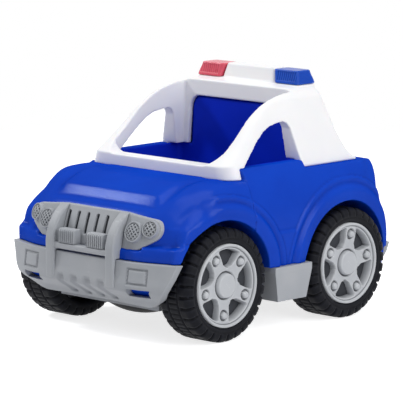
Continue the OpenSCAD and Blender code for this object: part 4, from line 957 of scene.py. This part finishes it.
def makePushBar():
    s = pushSize
    adds = []
    half = s["wide"] / 2
    for side in (-1, 1):
        rings = []
        for i in range(71):
            t = i / 70
            z = mix(s["low"], s["top"], t)
            front = s["foot"] + s["reach"] * curve(s["bow"], t)
            if z < 57:  # in front of the bumper
                up = min(1, (z - bumperSize["low"]) / (bumperSize["top"] - bumperSize["low"]))
                back = max(grilleFront(s["y"], z), bumperFront(s["y"], up)) + s["gap"]
            else:
                back = grilleFront(s["y"], z) + s["gap"] if z > 60 else 104
            back = min(back, front - s["thinnest"])
            radii = [s["frontEdge"], s["frontEdge"], s["backEdge"], s["backEdge"]]
            rings.append([(x, side * s["y"] + y, z) for x, y in rounded(back, -half, front, half, radii, 4)])
        adds.append(loft("upright", rings))
    adds.append(prism("rail", rounded(110.5, 57.6, 116.5, 61.8, 1.2), "xz", -29, 29))
    bar = finishShape(adds[0], adds[1:], voxel=0.4, rounds=4, faces=110000)
    bar.name = "push_guard"
    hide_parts("push_bar")
    return paint(bar, "trimGrey")


def makeSpot(hand, side):
    # box lamp with upright ribs on its front and round ends
    s = spotSize
    rings = []
    for i in range(161):
        y = mix(-s["half"], s["half"], i / 160)
        end = math.sqrt(max(0, 1 - max(0, (abs(y) - 6.9) / .8) ** 2))
        rib = -s["ribDeep"] * (1 - ease(.16, .34, abs((i / 160 * s["ribs"]) % 1 - .5))) * (abs(y) < 7.2)
        outline = [(s["back"], 61.9), (115.6, 61.9), (116.6, 62.2), (117 + rib, 63), (117 + rib, 66),
                   (117 + rib, 69.6), (116.8 + rib, 70.4), (116 + rib, 71.2), (114 + rib * .6, 71.5), (s["back"], 71.5)]
        rings.append([(mix(s["back"], x, .85 + .15 * end), side * s["y"] + y, mix(s["z"], z, .93 + .07 * end))
                      for x, z in outline])
    spot = dress(loft(f"spot_lamp_{hand}", rings))
    for p in spot.data.polygons:
        p.use_smooth = False
    return paint(spot, "trimGrey")


makePushBar()
makeSpot("right", -1)
makeSpot("left", 1)
print("push bar done")


# wheels

wheelSize = {
    "tyreR": 38, "tyreW": 30, "innerY": 51.5, "shoulder": 5, "bead": 27.75,
    "treads": 30, "notch": 1.9, "notchDeep": 1.5, "notchRun": 9, "grooves": (10.5, 19.5),
    "rimR": 27.7, "faceR": 27.3, "rimDeep": 12, "spokes": 5, "spokeHalf": 5.2, "frontTurn": 101, "rearTurn": 64,
    "pocketFloor": 2.6, "capR": 8.3, "capHigh": 11.3, "boltRing": 19.8, "boltR": 2.6, "boltHigh": 3.1, "hole": 2.1,
    "pocketRows": ((10.9, 21.4), (11.6, 22.6), (16, 23.4), (22, 22.8), (25.6, 21.6), (26.2, 20.6)),
}


def wheelPoint(side, x, r, a, out):
    # point on a wheel: a from straight up, out measured outwards from the inner tyre face
    return (x + r * math.sin(a), side * (wheelSize["innerY"] + out), bodySize["axleZ"] + r * math.cos(a))


def tyreProfile():
    # from the inner bead over the tread to the outer bead: (radius, distance outwards)
    s = wheelSize
    bend, wide = s["shoulder"], s["tyreW"]
    wall = s["tyreR"] - bend
    rows = [(s["bead"], 1.6), (28.4, .7), (29.6, .15), (31, 0)]
    for k in range(1, 5):
        rows.append((mix(31, wall, k / 4), 0))
    for k in range(1, 17):
        a = math.pi / 2 * k / 16
        rows.append((wall + bend * math.sin(a), bend - bend * math.cos(a)))
    for k in range(1, 41):
        rows.append((s["tyreR"], mix(bend, wide - bend, k / 40)))
    for k in range(1, 17):
        a = math.pi / 2 * k / 16
        rows.append((wall + bend * math.cos(a), wide - bend + bend * math.sin(a)))
    for k in range(1, 9):
        rows.append((mix(wall, 29.6, k / 8), wide - .05 * k))
    return rows + [(28.8, 29.2), (28.2, 28.5), (s["bead"], 27.4)]


def treadDepth(a, out, r):
    s = wheelSize
    pitch = 2 * math.pi / s["treads"]
    deep = 0
    for run, shift in ((out, 0), (s["tyreW"] - out, .5)):  # the two shoulders' blocks are half a pitch apart
        d = abs(((a / pitch + shift) % 1) - .5) * pitch * s["tyreR"]
        if run < s["notchRun"] + 1 and r > 32:
            edge = (1 - ease(s["notch"] / 2 - .35, s["notch"] / 2 + .35, d)) * (1 - ease(8, 9.6, run))
            deep = max(deep, s["notchDeep"] * (edge * ease(31.8, 33.4, r)))
    if s["shoulder"] < out < s["tyreW"] - s["shoulder"]:
        inner, outer = s["grooves"]
        for c in s["grooves"]:  # two thin grooves round the tyre
            deep = max(deep, 1 - ease(.3, .8, abs(out - c)))
        d = abs(((a / pitch * 2 + .25) % 1) - .5) * pitch / 2 * s["tyreR"]
        across = .8 * (1 - ease(.25, .75, d))  # short cuts between them
        deep = max(deep, across * ease(inner, inner + 1, out) * (1 - ease(outer - 1, outer, out)))
    return deep


def makeTyre(name, node, side, x, body):
    profile = tyreProfile()
    count = 420
    rows = []
    for i, (r, out) in enumerate(profile):
        a, b = profile[max(0, i - 1)], profile[min(len(profile) - 1, i + 1)]
        tr, to = b[0] - a[0], b[1] - a[1]
        size = math.hypot(tr, to) or 1
        nr, no = to / size, -tr / size
        line = .25 * math.exp(-((r - 31.4) / .5) ** 2) if out > 29 else 0  # fine line pressed into the sidewall
        row = []
        for k in range(count):
            a = 2 * math.pi * k / count
            deep = treadDepth(a, out, r)
            row.append(wheelPoint(side, x, r - nr * deep, a, out - no * deep - line))
        rows.append(row)
    tyre = dress(turned(name, rows), body)
    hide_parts(node)
    return paint(tyre, "tyreBlack")


def rimHeight(r, a, turn):
    # outward height of the rim's face above its floor plane, 12 at the lip
    s = wheelSize
    ring = s["rimR"] - 1.8 - .65
    sector = 2 * math.pi / s["spokes"]
    b = ((a - turn + sector / 2) % sector) - sector / 2
    off = abs(r * math.sin(b))
    face = 9.4 + 1.1 * ease(11, 21, r)  # spokes dip round the hub cap
    high = mix(face, s["rimDeep"], ease(25.6, 26.3, r))
    edge = s["spokeHalf"] - .4 + 1.3 * ease(22.6, 25, r) ** 2 + 1.4 * (1 - ease(12, 14.4, r))
    pocket = ease(-.3, .9, min(off - edge, r - 11.9, ring - .9 - r))
    if r < ring:
        high = mix(high, s["pocketFloor"], pocket)
    high -= 1.6 * (1 - ease(.35, .85, abs(r - (s["capR"] + .75))))  # groove round the cap
    if r < s["capR"]:
        high = s["capHigh"] + .6 * (1 - (r / s["capR"]) ** 2) - .8 * ease(s["capR"] - .9, s["capR"], r)
    d = math.hypot(r * math.cos(b) - s["boltRing"], r * math.sin(b))
    if d < 4.6:
        high -= 1.6 * (1 - ease(3.5, 4.1, d)) * (1 - pocket)
    if d < s["boltR"]:
        high += s["boltHigh"] * (1 - (d / s["boltR"]) ** 4) ** .5 * (1 - pocket)
    return high


def makeRim(name, node, side, x, turn, body):
    s = wheelSize
    floor = s["tyreW"] - s["rimDeep"]
    count = 400
    turn = math.radians(turn)
    angles = [2 * math.pi * k / count for k in range(count)]
    rows = []
    for r in [.35 * k for k in range(1, 79) if .35 * k < s["faceR"]] + [27.4, 27.62, s["rimR"]]:
        high = [rimHeight(min(r, s["faceR"]), a, turn) - .35 * ease(s["faceR"], s["rimR"], r) for a in angles]
        rows.append([wheelPoint(side, x, r, side * a, floor + min(s["rimDeep"], h)) for a, h in zip(angles, high)])
    for r in (s["rimR"], s["hole"]):
        rows.append([wheelPoint(side, x, r, side * a, floor) for a in angles])
    rim = dress(domed(name, wheelPoint(side, x, 0, 0, floor + rimHeight(0.01, 0, 0)), rows), body)
    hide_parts(node)
    paint(rim, "rimGrey")
    # painted shade: dark grey dished sheet on the floor of the blind pockets, where they lie in shade
    rows = [[wheelPoint(side, x, r, 2 * math.pi * k / 144, out) for k in range(144)] for r, out in s["pocketRows"]]
    pocket = dress(turned(name.replace("wheel", "pocket"), rows), body)
    paint(pocket, "pocketGrey")
    return rim


for end, x in (("front", bodySize["axle"]), ("rear", -bodySize["axle"])):
    for hand, side in (("left", 1), ("right", -1)):
        makeTyre(f"tread_{end}_{hand}", f"tyre_{end}_{hand}", side, x, f"{end}_wheelset")
        makeRim(f"wheel_{end}_{hand}", f"rim_{end}_{hand}", side, x, wheelSize[f"{end}Turn"], f"{end}_wheelset")
print("wheels done")


# underside

housingSize = {"half": 22.4, "middleR": 27.6, "endR": 23.6, "skin": .25, "low": 5, "top": 41, "edge": .8}


def makeHousing(end, x):
    # the black housing that shows under the nose or the tail, a skin over the grey tray's drum
    s = housingSize
    rings = []
    for k in range(41):
        y = mix(-s["half"], s["half"], k / 40)
        r = mix(s["middleR"], s["endR"], (abs(y) / s["half"]) ** 2) + s["skin"]
        angles = [2 * math.pi * i / 96 for i in range(96)]
        rings.append([(x + r * math.cos(a), y, bodySize["axleZ"] + r * math.sin(a)) for a in angles])
    drum = loft(f"axle_housing_{end}", rings)
    keep = [(x - 40, s["low"]), (x + 40, s["low"]), (x + 40, s["top"]), (x - 40, s["top"])]
    combine(drum, keeps=[prism("keep", keep, "xz", -60, 60)])
    bevelEdges(drum, s["edge"], 3, 40)
    bake(drum)
    return paint(dress(drum), "innerBlack")


useCadNode("chassis", "trimGrey", 0.7)
makeHousing("front", bodySize["axle"])
makeHousing("rear", -bodySize["axle"])
useCadNode("chassis_screws", "steelRod", 0.25)
useCadNode("front_axle", "steelRod")
useCadNode("rear_axle", "steelRod")
print("underside done")


# floor, light and camera

stageSize = {
    "floor": 800, "paper": "#e4e4e6", "paperGlow": 0.75, "roomLight": 0.36, "roomShown": 1.0, "aim": (0, 0, 0.08),
    "lamps": (("softTop", (0.1, 0.15, 1.5), 1.1, 8.0),  # place and size in metres, then watts
              ("softFarFront", (0.62, -1.12, 1.05), 0.24, 9.0),
              ("softNearSide", (0.08, 1.39, 0.75), 1.0, 11.0)),
}


def shownRays(tree):
    # 1 for what the eye sees, straight or in a reflection, and 0 for light that falls on the car
    path = addNode(tree, "ShaderNodeLightPath")
    seen = addNode(tree, "ShaderNodeMath", [(0, path, "Is Camera Ray"), (1, path, "Is Glossy Ray")],
                   operation="MAXIMUM")
    return addNode(tree, "ShaderNodeMath", [(0, seen, 0), (1, path, "Is Transmission Ray")], operation="MAXIMUM")


def makeStage():
    s = stageSize
    far = s["floor"]
    floor = meshPiece("floor", [(-far, -far, 0), (far, -far, 0), (far, far, 0), (-far, far, 0)], [(0, 1, 2, 3)])
    # plain matt paper that looks as white as the room and still takes the car's shadow
    paper = bpy.data.materials.new("matt_white_paper")
    paper.use_nodes = True
    tree = paper.node_tree
    tree.nodes.clear()
    boost = addNode(tree, "ShaderNodeMath", [(0, shownRays(tree), 0)], operation="MULTIPLY", in1=s["paperGlow"])
    sheet = addNode(tree, "ShaderNodeBsdfDiffuse", Color=hexLinear(s["paper"]))
    glow = addNode(tree, "ShaderNodeEmission", [("Strength", boost, 0)], Color=(1, 1, 1, 1))
    both = addNode(tree, "ShaderNodeAddShader", [(0, sheet, 0), (1, glow, 0)])
    addNode(tree, "ShaderNodeOutputMaterial", [("Surface", both, 0)])
    floor.data.materials.append(paper)

    world = bpy.data.worlds.new("white_room")
    scene.world = world
    world.use_nodes = True
    tree = world.node_tree
    tree.nodes.clear()
    power = addNode(tree, "ShaderNodeMapRange", [("Value", shownRays(tree), 0)],
                    To_Min=s["roomLight"], To_Max=s["roomShown"])
    sky = addNode(tree, "ShaderNodeBackground", [("Strength", power, "Result")], Color=(1, 1, 1, 1))
    addNode(tree, "ShaderNodeOutputWorld", [("Surface", sky, 0)])

    for name, place, size, watts in s["lamps"]:
        lamp = bpy.data.lights.new(name, "AREA")
        lamp.size, lamp.energy = size, watts
        holder = bpy.data.objects.new(name, lamp)
        scene.collection.objects.link(holder)
        holder.location = place
        holder.rotation_mode = "QUATERNION"
        holder.rotation_quaternion = (Vector(s["aim"]) - Vector(place)).to_track_quat("-Z", "Y")


cameraSize = {"lens": 281.3, "sensor": 36, "target": (-3.82, -4.95, 77.42), "back": (0.70884, 0.68809, 0.15518),
              "distance": 2160}


def makeCamera():
    s = cameraSize
    lens = bpy.data.cameras.new("camera")
    lens.lens, lens.sensor_width = s["lens"], s["sensor"]
    lens.clip_start, lens.clip_end = 0.05, 50
    eye = bpy.data.objects.new("camera", lens)
    scene.collection.objects.link(eye)
    back = Vector(s["back"]).normalized()
    eye.location = Vector(s["target"]) * mm + back * s["distance"] * mm
    eye.rotation_mode = "QUATERNION"
    eye.rotation_quaternion = (-back).to_track_quat("-Z", "Y")
    scene.camera = eye


makeStage()
makeCamera()
scene.view_settings.view_transform = "Standard"
print("stage, light and camera ready")
